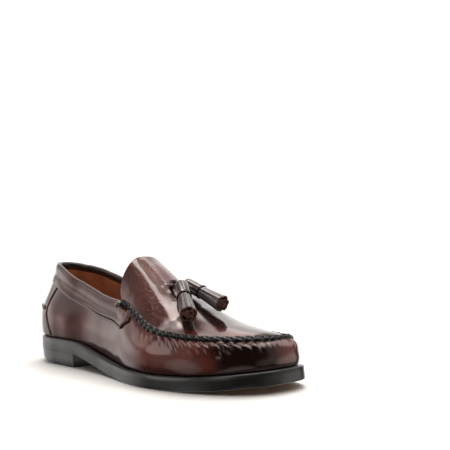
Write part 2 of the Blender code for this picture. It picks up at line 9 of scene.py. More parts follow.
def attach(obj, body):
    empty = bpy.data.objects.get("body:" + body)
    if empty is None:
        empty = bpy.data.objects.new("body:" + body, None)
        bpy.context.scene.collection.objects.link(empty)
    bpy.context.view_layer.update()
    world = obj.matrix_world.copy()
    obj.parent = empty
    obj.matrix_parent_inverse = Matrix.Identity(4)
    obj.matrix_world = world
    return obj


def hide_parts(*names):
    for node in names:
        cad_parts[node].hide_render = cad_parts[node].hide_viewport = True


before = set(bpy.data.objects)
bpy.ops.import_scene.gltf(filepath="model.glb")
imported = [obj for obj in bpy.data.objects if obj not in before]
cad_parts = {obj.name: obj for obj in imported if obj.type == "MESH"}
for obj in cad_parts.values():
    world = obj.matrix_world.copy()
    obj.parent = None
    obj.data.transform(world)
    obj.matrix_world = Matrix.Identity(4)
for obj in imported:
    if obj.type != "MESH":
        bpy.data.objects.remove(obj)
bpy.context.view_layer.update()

# Sizes of the shoe in metres, as in the solids
SOLE_LENGTH = 0.3
BALL_WIDTH = 0.1058
SOLE_THICKNESS = 0.0118
HEEL_LENGTH = 0.08
HEEL_HEIGHT = 0.0132
HEEL_TAPER = 0.0012
LIFT_THICKNESS = 0.0058
TOE_SPRING = 0.0072
WALL = 0.002
LEDGE = 0.003
BACK_HEIGHT = 0.0696
TOE_WALL_HEIGHT = 0.024
CROWN_HEIGHT = 0.0395
MARGIN_WIDTH = 0.013
FEATHER_RADIUS = 0.0016
COLLAR_SET_IN = 0.0148
SEAM_SET_IN = 0.0145
INSOLE_THICKNESS = 0.0025
BAND_WIDTH = 0.019
BAND_THICKNESS = 0.0016
COUNTER_WIDTH = 0.119
COUNTER_THICKNESS = 0.001
RIDGE_LENGTH = 0.092
RIDGE_HEIGHT = 0.0048
RIDGE_DEPTH = 0.0022
SEAM_WIDTH = 0.0046
SEAM_RISE = 0.0026
TASSEL_LENGTH = 0.048
CAP_DIAMETER = 0.0115
FRINGE_DIAMETER = 0.0146
LACE_WIDTH = 0.0042
LACE_THICKNESS = 0.0018
CLEARANCE = 0.0003
# How far thin covers reach into what they lie on, and how near points are merged
TUCK = 0.0003
WELD = 0.000001

# Stations along one side, from the back to the seam's start and on to the toe
REAR_STATIONS = 20
FRONT_STATIONS = 26
STATIONS = REAR_STATIONS + FRONT_STATIONS
# Once round the shoe, from the back to the back
LAP = 2 * STATIONS
WAIST_SHARE = 0.5
PLAN_STEP = 0.05
UP_STEP = 0.004

# Share of the length, half width and middle line, as shares of the ball's width
SOLE_PLAN = (
    (0, 0.34, 0), (0.16, 0.34, 0), (0.22, 0.339, -0.005), (0.3, 0.33, -0.019), (0.4, 0.325, -0.048),
    (0.5, 0.359, -0.063), (0.58, 0.417, -0.058), (0.65, 0.471, -0.034), (0.715, 0.5, 0.002),
    (0.8, 0.5, 0.048), (0.88, 0.5, 0.095), (0.94, 0.5, 0.13), (1, 0.5, 0.165),
)
HEEL_ROUND_SHARE, HEEL_POWER = 0.16, 2.2
TOE_ROUND_SHARE, TOE_POWER = 0.285, 2.55
# Share of the length, share of the heel's height and of the toe spring
SOLE_RISE = (
    (0, 1, 0), (0.2, 1, 0), (0.267, 0.95, 0), (0.32, 0.78, 0), (0.38, 0.505, 0), (0.44, 0.27, 0),
    (0.5, 0.115, 0), (0.56, 0.03, 0), (0.61, 0, 0), (0.72, 0, 0), (0.8, 0, 0.105), (0.88, 0, 0.375),
    (1, 0, 1),
)
# Share of the length and share of the ledge on the lateral and the medial side
LEDGES = (
    (0, 0.4, 0.4), (0.2, 0.9, 0.9), (0.36, 2.2, 1.2), (0.46, 2.1, 1.2), (0.58, 1.2, 1.1),
    (0.75, 1, 1), (0.92, 1.25, 1.25), (1, 1.95, 1.95),
)
# Share of the length, half width, middle line, shares of the back's and the toe wall's height
TOP_PLAN = (
    (0.04, 0.262, 0, 1, 0), (0.09, 0.264, 0, 1.008, 0), (0.14, 0.266, 0, 0.975, 0),
    (0.193, 0.266, 0, 0.9, 0), (0.263, 0.264, 0, 0.806, 0), (0.323, 0.276, 0, 0.775, 0),
    (0.383, 0.29, 0, 0.756, 0), (0.443, 0.303, 0, 0.6, 0.432), (0.5, 0.313, 0, 0.45, 0.852),
    (0.55, 0.333, -0.004, 0.33, 1.08), (0.607, 0.368, -0.008, 0.2, 1.19),
    (0.663, 0.4, -0.006, 0.08, 1.27), (0.7, 0.418, 0, 0.03, 1.345), (0.74, 0.438, 0.012, 0, 1.37),
    (0.8, 0.444, 0.04, 0, 1.29), (0.85, 0.444, 0.078, 0, 1.21), (0.9, 0.444, 0.125, 0, 1.13),
    (0.952, 0.444, 0.185, 0, 1.06),
)
SEAM_START_SHARE = 0.507
COLLAR_ROUND_SHARE, COLLAR_POWER = 0.2, 2.0
APRON_ROUND_SHARE, APRON_POWER = 0.195, 2.4
# Share of the length, crown, lean of the tongue, lateral and medial power, power of the arch
CROWN = (
    (0.507, 1, 1, 2.4, 3.6, 1), (0.533, 0.905, 0.8, 2.4, 3.4, 1), (0.583, 0.81, 0.62, 2.3, 2.8, 1),
    (0.633, 0.722, 0.46, 2.2, 2.4, 1), (0.683, 0.638, 0.31, 2.1, 2.1, 1.1),
    (0.733, 0.517, 0.23, 2, 2, 1.25), (0.783, 0.377, 0.15, 2, 2, 1.3),
    (0.833, 0.27, 0.08, 2, 2, 1.3), (0.873, 0.212, 0, 2, 2, 1.3), (0.91, 0.165, 0, 2, 2, 1.3),
    (0.952, 0.09, 0, 2, 2, 1.3),
)
TONGUE_LEAN = 0.013
LEAN_POWER = 8.0
TOE_BLEND_SHARE = 0.03
# Share of the length and share of the medial dip of the top line
DIPS = (
    (0.0494, 0), (0.065, 0.3), (0.095, 0.85), (0.135, 1), (0.19, 0.85), (0.26, 0.4), (0.35, 0.1),
    (0.45, 0), (0.6, 0), (0.7, 0.3), (0.79, 0.9), (0.86, 1), (0.915, 1), (0.94, 0.55), (0.952, 0),
)
MEDIAL_DIP = 0.004
# Share of the wall's height and way inward at the rear and at the front
WALL_PROFILE = (
    (0, 0, 0), (0.08, -0.04, -0.05), (0.18, -0.06, -0.085), (0.3, -0.04, -0.07),
    (0.43, 0.12, -0.01), (0.56, 0.37, 0.09), (0.69, 0.61, 0.23), (0.81, 0.79, 0.42),
    (0.91, 0.91, 0.66), (1, 1, 1),
)
# Share of the length and share of the belly on the lateral and the medial side
BELLIES = (
    (0, 0.2, 0.2), (0.15, 0.5, 0.5), (0.3, 1, 0.6), (0.45, 1.6, 0.8), (0.6, 1.3, 1.2), (0.75, 1, 1),
    (1, 0.6, 0.6),
)
BELLY = 0.002
# Stations forward of the seam's start, rise of the foot and place of the band's top
BAND_FRONT = (
    (0, 0, 0.94), (0.55, 0, 0.935), (1.1, 0, 0.93), (1.85, 0.13, 0.928), (2.6, 0.25, 0.925),
)
# Share of the patch's height and share of its width there
COUNTER_SHAPE = (
    (0, 1), (0.12, 0.965), (0.22, 0.93), (0.34, 0.885), (0.46, 0.85), (0.58, 0.815), (0.72, 0.795),
    (0.86, 0.8), (1, 0.815),
)
COUNTER_FOOT_SHARE = 0.03
RIDGE_PLACE_SHARE = 0.388
# Side, slit and cap in shares of length and width, lift in cap diameters, yaw and pitch in degrees
TASSEL_PLACES = (
    ("lateral", (0.613, -0.061), (0.668, -0.08), 1.044, -33.0, -28.5),
    ("medial", (0.593, 0.028), (0.645, 0.028), 0.699, 3.0, -19.5),
)

# Gathers of the apron seam: pitch of the hand stitches, share of the length and strength
STITCH_PITCH = 0.0074
GATHERS = (
    (0.507, 0), (0.62, 0.05), (0.69, 0.14), (0.74, 0.28), (0.79, 0.62), (0.84, 1.12), (0.88, 1.2),
    (0.91, 0.95), (0.93, 0.7), (0.946, 0.35), (0.952, 0.1),
)
GATHER_DEPTH = 0.0017
GATHER_REACH = 0.0165
GATHER_SLANT = 0.3
PITCH_VARIES = 0.26
GATHER_SEED = 11
GATHER_VARIES = 0.5, 1.45

# Soft troughs and ridges pressed by hand: station, share across, reach along in stations,
# reach across as a share, slant in shares per station and height in metres
APRON_FORMS = (
    (25.2, 0.24, 5.6, 0.04, -0.02, 0.00045), (21.9, 0.36, 1.8, 0.045, -0.015, -0.00045),
    (22, 0.455, 2.6, 0.022, -0.012, 0.0005), (27, 0.3, 2.6, 0.06, -0.025, -0.00025),
    (21.6, 0.055, 0.7, 0.03, 0.05, -0.0003), (23.3, 0.06, 0.8, 0.03, 0.045, -0.0003),
    (24.6, 0.385, 0.35, 0.018, 0, 0.0007), (25.3, 0.395, 0.35, 0.018, 0, 0.0007),
    (22.5, 0.73, 2.6, 0.06, 0.015, -0.0004), (25.6, 0.865, 3, 0.055, 0.02, -0.0005),
)
# The same on the walls, lateral and medial alike: place, metres below the top line, reach along
# in places, reach down in metres, slant in metres per place and height in metres
WALL_FORMS = (
    (27.5, 0.0185, 6.5, 0.0075, -0.0006, 0.001), (13, 0.037, 6, 0.007, -0.001, 0.0003),
    (35.6, 0.012, 0.55, 0.006, 0, -0.0006), (36.6, 0.012, 0.55, 0.006, 0, 0.0004),
)


def smooth(rows, share, column):
    """Read a column of a table at a share, on a curve that never overshoots its rows."""
    table = np.array(rows)
    xs, ys = table[:, 0], table[:, column]
    slopes = np.diff(ys) / np.diff(xs)
    before, after = slopes[:-1], slopes[1:]
    steady = before * after > 0
    inner = np.where(steady, 2 * before * after / np.where(steady, before + after, 1.0), 0.0)
    tangents = np.concatenate([slopes[:1], inner, slopes[-1:]])
    share = np.clip(share, xs[0], xs[-1])
    k = np.clip(np.searchsorted(xs, share, side="right") - 1, 0, len(xs) - 2)
    span = xs[k + 1] - xs[k]
    t = (share - xs[k]) / span
    return (ys[k] * (1 + 2 * t) * (1 - t) ** 2 + tangents[k] * span * t * (1 - t) ** 2
            + ys[k + 1] * t * t * (3 - 2 * t) + tangents[k + 1] * span * t * t * (t - 1))


def ease(value, low, high):
    t = np.clip((value - low) / (high - low), 0.0, 1.0)
    return t * t * (3 - 2 * t)


def fade(value, low, high):
    return 1 - ease(value, low, high)


def bell(gap, width, power=2):
    """1 where the gap is nothing, and near 0 from twice the width on."""
    return np.exp(-(gap / width) ** power)


def unit(vectors):
    return vectors / np.maximum(np.linalg.norm(vectors, axis=-1, keepdims=True), 1e-12)


def paired(first, second):
    """Two sets of numbers, stretched to the same shape."""
    return np.broadcast_arrays(np.asarray(first, float), np.asarray(second, float))


def walk(points):
    """Distance along a line of points from its first."""
    return np.concatenate([[0], np.cumsum(np.linalg.norm(np.diff(points, axis=0), axis=1))])


def handed(rows, share, lateral, column=1):
    """Read a table whose medial column follows its lateral one."""
    return np.where(lateral, smooth(rows, share, column), smooth(rows, share, column + 1))


def rounded(share, start, end, start_round, start_power, end_round, end_power):
    """Share of the half width that the rounded ends of a plan leave."""
    t = np.clip((start + start_round - share) / start_round, 0.0, 1.0)
    width = (1 - t ** start_power) ** (1 / start_power)
    t = np.clip((share - end + end_round) / end_round, 0.0, 1.0)
    return width * (1 - t ** end_power) ** (1 / end_power)


def sided(place):
    """Station and side of a place: 0 is the back, 46 the toe, then back again medially."""
    place = np.mod(place, LAP)
    lateral = place <= STATIONS
    return np.where(lateral, place, LAP - place), np.where(lateral, -1.0, 1.0)


def station_share(station, start, middle, end):
    rear = start + (middle - start) * (1 - np.cos(np.pi / 2 * np.minimum(station, REAR_STATIONS)
                                                   / REAR_STATIONS))
    turn = np.pi / 2 * (station - REAR_STATIONS) / FRONT_STATIONS
    return np.where(station <= REAR_STATIONS, rear, middle + (end - middle) * np.sin(turn))


def sole_share(station):
    return station_share(station, 0.0, WAIST_SHARE, 1.0)


def sole_rise(share):
    return smooth(SOLE_RISE, share, 1) * HEEL_HEIGHT + smooth(SOLE_RISE, share, 2) * TOE_SPRING


def sole_top(share):
    return sole_rise(share) + SOLE_THICKNESS


def sole_edge(share, side):
    width = rounded(share, 0.0, 1.0, HEEL_ROUND_SHARE, HEEL_POWER, TOE_ROUND_SHARE, TOE_POWER)
    half = smooth(SOLE_PLAN, share, 1) * width
    across = (smooth(SOLE_PLAN, share, 2) + side * half) * BALL_WIDTH
    return np.stack([share * SOLE_LENGTH, across], -1)


def sole_place(place):
    station, side = sided(place)
    return sole_edge(sole_share(station), side)


def outward(place):
    """The sole outline's outward direction in plan."""
    along = sole_place(place + PLAN_STEP) - sole_place(place - PLAN_STEP)
    return unit(np.stack([along[..., 1], -along[..., 0]], -1))


def ledge(place):
    station, side = sided(place)
    return handed(LEDGES, sole_share(station), side < 0) * LEDGE


def inset_place(place, distance):
    distance = np.asarray(distance)
    return sole_place(place) - outward(place) * distance[..., None]


def top_share(station):
    toe = 1.0 - SEAM_SET_IN / SOLE_LENGTH
    return station_share(station, COLLAR_SET_IN / SOLE_LENGTH, SEAM_START_SHARE, toe)


def top_line(place):
    """The collar's edge and, forward of the tongue, the apron seam."""
    station, side = sided(place)
    share = top_share(station)
    width = rounded(share, top_share(0), top_share(STATIONS), COLLAR_ROUND_SHARE, COLLAR_POWER,
                    APRON_ROUND_SHARE, APRON_POWER)
    across = (smooth(TOP_PLAN, share, 2)
              + side * smooth(TOP_PLAN, share, 1) * width) * BALL_WIDTH
    height = (smooth(TOP_PLAN, share, 3) * BACK_HEIGHT
              + smooth(TOP_PLAN, share, 4) * TOE_WALL_HEIGHT
              - np.where(side > 0, smooth(DIPS, share, 1) * MEDIAL_DIP, 0.0))
    return np.stack([share * SOLE_LENGTH, across, sole_top(share) + height], -1)


def wall_point(place, up):
    """A point of the upper's outer face between the feather line and the top line."""
    place, up = paired(place, up)
    station, side = sided(place)
    low, high = inset_place(place, ledge(place)), top_line(place)
    base = low[..., 0] / SOLE_LENGTH
    front = ease(station, REAR_STATIONS - 8, REAR_STATIONS + 8)
    inward = (1 - front) * smooth(WALL_PROFILE, up, 1) + front * smooth(WALL_PROFILE, up, 2)
    belly = handed(BELLIES, base, side < 0) * BELLY
    swell = outward(place) * (belly * np.sin(np.pi * up ** 0.8))[..., None]
    plan = low + (high[..., :2] - low) * inward[..., None] + swell
    foot = sole_top(base) + CLEARANCE
    return np.stack([plan[..., 0], plan[..., 1], foot + (high[..., 2] - foot) * up], -1)


def wall_normal(place, up):
    place, up = paired(place, up)
    along = wall_point(place + PLAN_STEP, up) - wall_point(place - PLAN_STEP, up)
    rise = (wall_point(place, np.minimum(up + UP_STEP, 1))
            - wall_point(place, np.maximum(up - UP_STEP, 0)))
    return unit(np.cross(along, rise))


def lifted_wall(place, up, distance):
    distance = np.asarray(distance, float)
    return wall_point(place, up) + wall_normal(place, up) * distance[..., None]


def wall_height(place):
    return wall_point(place, 1.0)[..., 2] - wall_point(place, 0.0)[..., 2]


def apron_point(station, across):
    """A point of the apron's or tongue's outer face; across runs from 0, lateral, to 1."""
    station, across = paired(station, across)
    left, right = top_line(station), top_line(LAP - station)
    share = top_share(station)
    point = left + (right - left) * across[..., None]
    off_centre = np.abs(2 * across - 1)
    power = handed(CROWN, share, across < 0.5, 3)
    arch = np.maximum(1 - off_centre ** power, 0) ** smooth(CROWN, share, 5)
    short = np.clip((top_share(STATIONS) - share) / TOE_BLEND_SHARE, 0.0, 1.0)
    point[..., 2] += (smooth(CROWN, share, 1) * CROWN_HEIGHT * arch
                      * np.sqrt(short * (2 - short)))
    point[..., 0] -= smooth(CROWN, share, 2) * TONGUE_LEAN * (1 - off_centre ** LEAN_POWER)
    return point


def apron_normal(station, across):
    station, across = paired(station, across)
    low, high = np.maximum(station - 0.1, REAR_STATIONS), np.minimum(station + 0.1, STATIONS - 0.05)
    ahead = apron_point(high, across) - apron_point(low, across)
    beside = (apron_point(station, np.minimum(across + 0.01, 1))
              - apron_point(station, np.maximum(across - 0.01, 0)))
    return unit(np.cross(ahead, beside))


# Arc length of the seam from its lateral start, by place
SEAM_PLACES = np.linspace(REAR_STATIONS, LAP - REAR_STATIONS, 1041)
SEAM_WALK = walk(top_line(SEAM_PLACES))


def seam_walked(place):
    return np.interp(np.mod(place, LAP), SEAM_PLACES, SEAM_WALK)


def seam_place(walked):
    return np.interp(walked, SEAM_WALK, SEAM_PLACES)


def gather_strength(place):
    station, _ = sided(place)
    return smooth(GATHERS, top_share(station), 1) * (station >= REAR_STATIONS)


def stitch_places():
    """Where along the seam the hand stitches sit, a little uneven, and each gather's size."""
    rng = np.random.default_rng(GATHER_SEED)
    count = int(SEAM_WALK[-1] / STITCH_PITCH)
    steps = STITCH_PITCH * (1 + rng.uniform(-PITCH_VARIES, PITCH_VARIES, count))
    walked = np.concatenate([[0.0], np.cumsum(steps)]) * SEAM_WALK[-1] / steps.sum()
    return walked, rng.uniform(*GATHER_VARIES, count + 1)


STITCHES_AT, GATHER_SIZES = stitch_places()


def soft_forms(rows, along, across):
    """Height of the soft troughs and ridges at a point."""
    height = 0.0
    for middle, beside, reach, width, slant, rise in rows:
        away = (across - beside - slant * (along - middle)) / width
        height = height + rise * np.exp(-((along - middle) / reach) ** 4 - away ** 2)
    return height


def stitch_turn(walked):
    """How many stitches lie between the seam's start and a point."""
    return np.interp(walked, STITCHES_AT, np.arange(len(STITCHES_AT)))


def puffs(walked, power=0.8):
    """The leather between two stitches: 0 at a stitch, 1 halfway."""
    return np.abs(np.sin(np.pi * stitch_turn(walked))) ** power


def gather_size(walked):
    """How much the gather at this point of the seam stands out, against the others."""
    return GATHER_SIZES[np.minimum(stitch_turn(walked).astype(int), len(GATHER_SIZES) - 1)]


def slanted(place, down):
    """Where along the seam the gather starts that runs down to a point of the wall."""
    return seam_walked(place) + GATHER_SLANT * down * sided(place)[1]


def placed(points):
    """Move points from the back of the sole to the part's own origin."""
    return np.asarray(points, float) - np.array([HEEL_LENGTH / 2, 0.0, 0.0])


def strip(near, far, closed=True):
    """Faces between two lines of points of the same count."""
    pairs = list(zip(near, far))
    return [(a, c, d, b) for (a, b), (c, d) in zip(pairs, pairs[1:] + pairs[:1] * closed)]


def grid_faces(rows, columns, closed=False, first=0):
    lines = (first + np.arange(rows * columns).reshape(rows, columns)).tolist()
    return [face for near, far in zip(lines, lines[1:]) for face in strip(near, far, closed)]


def put_in_scene(name, data):
    made = bpy.data.objects.new(name, data)
    bpy.context.scene.collection.objects.link(made)
    return made


def hand_in(name, mesh, nodes=()):
    """The mesh as a piece that rides on the shoe and stands for its nodes."""
    piece = put_in_scene(name, mesh)
    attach(piece, "root")
    if nodes:
        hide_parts(*nodes)


def add_piece(name, skin, finishes, nodes=(), face_slots=None, values=None, sharp=None):
    """A smooth piece from a skin of points and faces, with the values that its finishes read."""
    points, faces = skin
    mesh = bpy.data.meshes.new(name)
    mesh.from_pydata(placed(points).tolist(), [], faces)
    if face_slots is not None:
        mesh.polygons.foreach_set("material_index", np.asarray(face_slots, np.int32))
    for key, numbers in (values or {}).items():
        mesh.attributes.new(key, "FLOAT", "POINT").data.foreach_set(
            "value", np.full(len(points), np.ravel(numbers), np.float32))
    shaped = bmesh.new()
    shaped.from_mesh(mesh)
    bmesh.ops.remove_doubles(shaped, verts=shaped.verts, dist=WELD)
    bmesh.ops.recalc_face_normals(shaped, faces=shaped.faces)
    shaped.to_mesh(mesh)
    shaped.free()
    mesh.shade_smooth()
    if sharp is not None:
        mesh.set_sharp_from_angle(angle=math.radians(sharp))
    for finish in finishes:
        mesh.materials.append(finish)
    hand_in(name, mesh, nodes)


def slab(outer, inner):
    """A closed skin of two grids of the same size, the outer face and the one under it."""
    rows, columns = outer.shape[:2]
    count = rows * columns
    faces = grid_faces(rows, columns)
    faces += [face[::-1] for face in grid_faces(rows, columns, first=count)]
    grid = np.arange(count).reshape(rows, columns)
    rim = np.concatenate([grid[0], grid[1:, -1], grid[-1, -2::-1], grid[-2:0:-1, 0]])
    faces += strip(rim.tolist(), (rim + count).tolist())
    return np.concatenate([outer.reshape(-1, 3), inner.reshape(-1, 3)]), faces


def oval(centres, wide, high, count):
    """Round each centre, points on an oval of two half widths."""
    turn = np.linspace(0, 2 * np.pi, count, endpoint=False)[:, None]
    centres, wide, high = (np.asarray(part)[..., None, :] for part in (centres, wide, high))
    return centres + wide * np.cos(turn) + high * np.sin(turn)


def tube(rings, closed=False):
    """A closed skin of rings with the same count of points; open ends are capped by fans."""
    rings = np.asarray(rings, float)
    rows, columns = rings.shape[:2]
    points, faces = rings.reshape(-1, 3), grid_faces(rows, columns, closed=True)
    last = (rows - 1) * columns
    if closed:
        return points, faces + strip(range(last, last + columns), range(columns))
    for base, tip in ((0, rows * columns), (last, rows * columns + 1)):
        faces += [(base + k, base + (k + 1) % columns, tip) for k in range(columns)]
    return np.concatenate([points, rings[[0, -1]].mean(axis=1)]), faces


def across_rings(lines):
    """A closed skin from lines that run lengthwise, side by side round the section."""
    return tube(np.array(lines).transpose(1, 0, 2))


def joined(parts):
    """Several skins as one."""
    points, faces = [], []
    for part_points, part_faces in parts:
        first = sum(map(len, points))
        points.append(part_points)
        faces += [tuple(index + first for index in face) for face in part_faces]
    return np.concatenate(points), faces


# Finishes

def reckoning(operation):
    """An operator that adds a Math node."""
    def reckoned(value, other):
        return value.finish.node("ShaderNodeMath", {"operation": operation}, {0: value, 1: other})
    return reckoned


class Reckoned:
    """A number or colour inside a finish that can be reckoned with."""

    __add__ = __radd__ = reckoning("ADD")
    __mul__ = __rmul__ = reckoning("MULTIPLY")
    __sub__ = reckoning("SUBTRACT")

    def __init__(self, finish, socket):
        self.finish, self.socket = finish, socket

    def __rsub__(self, other):
        return self * -1.0 + other

    def between(self, low, high):
        """0 below low, 1 above high and a soft step between."""
        return self.finish.node("ShaderNodeMapRange", {"interpolation_type": "SMOOTHSTEP"},
                                {"Value": self, "From Min": low, "From Max": high})


class Nodes:
    """A node tree and one way to add any node to it."""

    def __init__(self, tree):
        self.tree = tree

    def put(self, socket, value):
        if isinstance(value, Reckoned):
            self.tree.links.new(value.socket, socket)
        elif socket.type == "RGBA":
            socket.default_value = (*value, 1.0)
        else:
            socket.default_value = value

    def node(self, kind, settings, inputs, output=0):
        """Add a node: its settings first, then the values or links of its sockets."""
        made = self.tree.nodes.new(kind)
        for key, value in settings.items():
            setattr(made, key, value)
        for key, value in inputs.items():
            self.put(made.inputs[key], value)
        return Reckoned(self, made.outputs[output]) if made.outputs else None


class Finish(Nodes):
    """A material in the making; settings are the shader's sockets by name."""

    def __init__(self, name, settings):
        self.material = bpy.data.materials.new(name)
        self.material.use_nodes = True
        super().__init__(self.material.node_tree)
        self.shader = self.tree.nodes["Principled BSDF"]
        self.set(settings)

    def place(self, scale=(1.0, 1.0, 1.0)):
        """Where the point is on the piece, in metres, stretched by a scale."""
        here = self.node("ShaderNodeTexCoord", {}, {}, "Object")
        return self.node("ShaderNodeVectorMath", {"operation": "MULTIPLY"}, {0: here, 1: scale})

    def noise(self, size, detail=2.0, roughness=0.5, scale=(1.0, 1.0, 1.0)):
        """Soft cloud with spots of a size in metres."""
        return self.node("ShaderNodeTexNoise", {}, {"Vector": self.place(scale),
                         "Scale": 1.0 / size, "Detail": detail, "Roughness": roughness})

    def cells(self, size):
        return self.node("ShaderNodeTexVoronoi", {"feature": "DISTANCE_TO_EDGE"},
                         {"Vector": self.place(), "Scale": 1.0 / size})

    def value(self, name):
        return self.node("ShaderNodeAttribute", {"attribute_name": name}, {}, "Fac")

    def blend(self, mask, first, second):
        return self.node("ShaderNodeMix", {"data_type": "RGBA"}, {0: mask, 6: first, 7: second}, 2)

    def bumps(self, *layers):
        """Relief of several heights, each with its depth in metres."""
        before = {}
        for height, depth in layers:
            inputs = {"Height": height, "Distance": depth, "Strength": 1.0, **before}
            before = {"Normal": self.node("ShaderNodeBump", {}, inputs)}
        self.set(before)

    def set(self, sockets):
        for name, value in sockets.items():
            self.put(self.shader.inputs[name], value)
        return self.material


def leather(name, dark, light, tint, roughness, coat, shine, marked=False):
    """Polished leather: cloudy dye under a glossy dressing that shines through the dye."""
    finish = Finish(name, {"Coat Roughness": 0.045, "Specular IOR Level": shine,
                           "Specular Tint": tint})
    clouds = finish.noise(0.034, 3.0, 0.55)
    specks = finish.noise(0.002, 3.0, 0.6)
    colour = finish.blend(clouds.between(0.32, 0.7), dark, light)
    colour = finish.blend(specks.between(0.52, 0.8) * 0.25, colour, dark)
    gloss = coat - clouds * 0.15
    wear_and_sheen = specks * 0.08 + (roughness - 0.04)
    grain = finish.cells(0.0009).between(0.0, 0.35)
    wrinkles = finish.noise(0.0028, 4.0, 0.6)
    pull = finish.noise(0.013, 2.0, 0.5, (0.35, 1.0, 1.0))
    layers = [(grain, 0.000003), (pull, 0.00035)]
    if marked:
        painted_shade, flex = finish.value("painted_shade"), finish.value("flex")
        # A deeper dye over each piece, and painted shade on the apron under the tassels and on the
        # toe's lateral flank
        colour = finish.blend(finish.value("dye_and_shade"), colour, (0.0045, 0.0016, 0.0013))
        # Painted shade in valleys, grooves and along edges, which also dulls the polish there
        colour = finish.blend(painted_shade, colour, (0.004, 0.002, 0.002))
        gloss = gloss * (1 - painted_shade * 0.7)
        wear_and_sheen = wear_and_sheen + painted_shade * 0.15
        layers.append((wrinkles * (flex + 0.015), 0.0009))
    else:
        layers.append((wrinkles, 0.00012))
    finish.bumps(*layers)
    return finish.set({"Base Color": colour, "Roughness": wear_and_sheen, "Coat Weight": gloss})


BURGUNDY = leather("burgundy_leather", (0.034, 0.008, 0.0056), (0.092, 0.021, 0.0145),
                   (1.0, 0.6, 0.54), 0.2, 0.95, 0.62, True)
TASSEL = leather("tassel_leather", (0.028, 0.02, 0.018), (0.055, 0.04, 0.036),
                 (1.0, 0.9, 0.87), 0.25, 1.0, 1.0)
STRIP = leather("strip_leather", (0.012, 0.008, 0.007), (0.024, 0.016, 0.014),
                (1.0, 0.9, 0.86), 0.34, 0.5, 0.6)
DARK_TRIM = leather("dark_trim", (0.002, 0.0017, 0.0015), (0.005, 0.0041, 0.0037),
                    (1.0, 0.93, 0.9), 0.2, 0.46, 0.25)


def grained(name, settings, size, detail, roughness, depth, dark, light):
    """A finish of one fine noise, dark to light, with a little relief."""
    finish = Finish(name, settings)
    grain = finish.noise(size, detail, roughness)
    if depth:
        finish.bumps((grain, depth))
    finish.set({"Base Color": finish.blend(grain, dark, light)})
    return finish, grain


def inner_leather(name, coat, cloud_size, pore_size, dull, relief, dark, light, shade_colour):
    """Unpolished leather of the inside, cloudy and finely pored, with painted shade where a piece
    marks it.
    """
    finish = Finish(name, {"Coat Weight": coat})
    clouds, pores = finish.noise(cloud_size, 3.0, 0.6), finish.noise(pore_size, 2.0, 0.6)
    colour = finish.blend(clouds.between(0.3, 0.7), dark, light)
    if shade_colour:
        # Painted shade in its own colour
        colour = finish.blend(finish.value("painted_shade"), colour, shade_colour)
    finish.bumps((pores, relief[0]), (clouds, relief[1]))
    return finish.set({"Base Color": colour, "Roughness": pores * 0.15 + dull})


def make_edge_finish():
    """Black ink and wax on the sole's edge, faintly grained along the layers, with a painted sheen
    towards the heel.
    """
    finish = Finish("sole_black", {"Coat Roughness": 0.16, "Specular IOR Level": 0.7})
    fibres = finish.noise(0.004, 4.0, 0.6, (1.0, 1.0, 6.0))
    blotches = finish.noise(0.012, 3.0, 0.6)
    colour = finish.blend(fibres, (0.003, 0.0027, 0.0026), (0.0075, 0.0068, 0.0064))
    wear_and_sheen = finish.value("wear_and_sheen")
    # Painted sheen: the edge lighter and glossier where the piece marks it, in blotches
    colour = finish.blend(wear_and_sheen * (blotches * 0.5 + 0.5), colour, (0.062, 0.057, 0.056))
    finish.bumps((fibres, 0.00005), (blotches, 0.0001))
    return finish.set({"Base Color": colour, "Roughness": blotches * 0.15 + 0.26,
                       "Coat Weight": wear_and_sheen * 0.2 + 0.45 - blotches * 0.2})


def make_tread_finish():
    """Natural tan leather with a waist painted black from an arc behind the ball."""
    finish = Finish("sole_leather", {"Coat Roughness": 0.3})
    clouds = finish.noise(0.035, 4.0, 0.6)
    fibres = finish.noise(0.0014, 3.0, 0.65)
    tan = finish.blend(clouds, (0.72, 0.47, 0.3), (0.84, 0.6, 0.42))
    tan = finish.blend(fibres.between(0.5, 0.8) * 0.3, tan, (0.58, 0.35, 0.21))
    paint, groove_shade = finish.value("paint"), finish.value("painted_shade")
    # Painted shade in the tread's grooves
    tan = finish.blend(groove_shade, tan, (0.2, 0.09, 0.045))
    colour = finish.blend(paint, tan, (0.008, 0.007, 0.007))
    finish.bumps((fibres, 0.00006), (clouds, 0.0003))
    return finish.set({"Base Color": colour, "Roughness": 0.42 - paint * 0.14,
                       "Coat Weight": paint * 0.4 + 0.05})


LINING = inner_leather("lining_leather", 0.05, 0.02, 0.0012, 0.5, (0.00006, 0.0004),
                       (0.29, 0.11, 0.05), (0.45, 0.18, 0.082), (0.02, 0.009, 0.006))
EDGE = make_edge_finish()
rubber, pits = grained("lift_rubber", {}, 0.0016, 3.0, 0.7, 0.00008,
                       (0.008, 0.008, 0.008), (0.02, 0.019, 0.018))
RUBBER = rubber.set({"Roughness": pits * 0.2 + 0.42})
TREAD = make_tread_finish()
SOCK = inner_leather("insole_tan", 0.1, 0.025, 0.0011, 0.42, (0.00005, 0.0003),
                     (0.17, 0.062, 0.027), (0.27, 0.105, 0.045), None)
THREAD = grained("thread", {"Roughness": 0.42, "Specular IOR Level": 0.32}, 0.0006, 2.0, 0.6,
                 0.0001, (0.003, 0.0027, 0.0026), (0.016, 0.013, 0.012))[0].material
# Cut leather: reddish brown and dull
RAW = grained("raw_leather", {"Roughness": 0.7}, 0.0009, 3.0, 0.7, 0.00015,
              (0.045, 0.016, 0.01), (0.14, 0.048, 0.028))[0].material


# Stitches

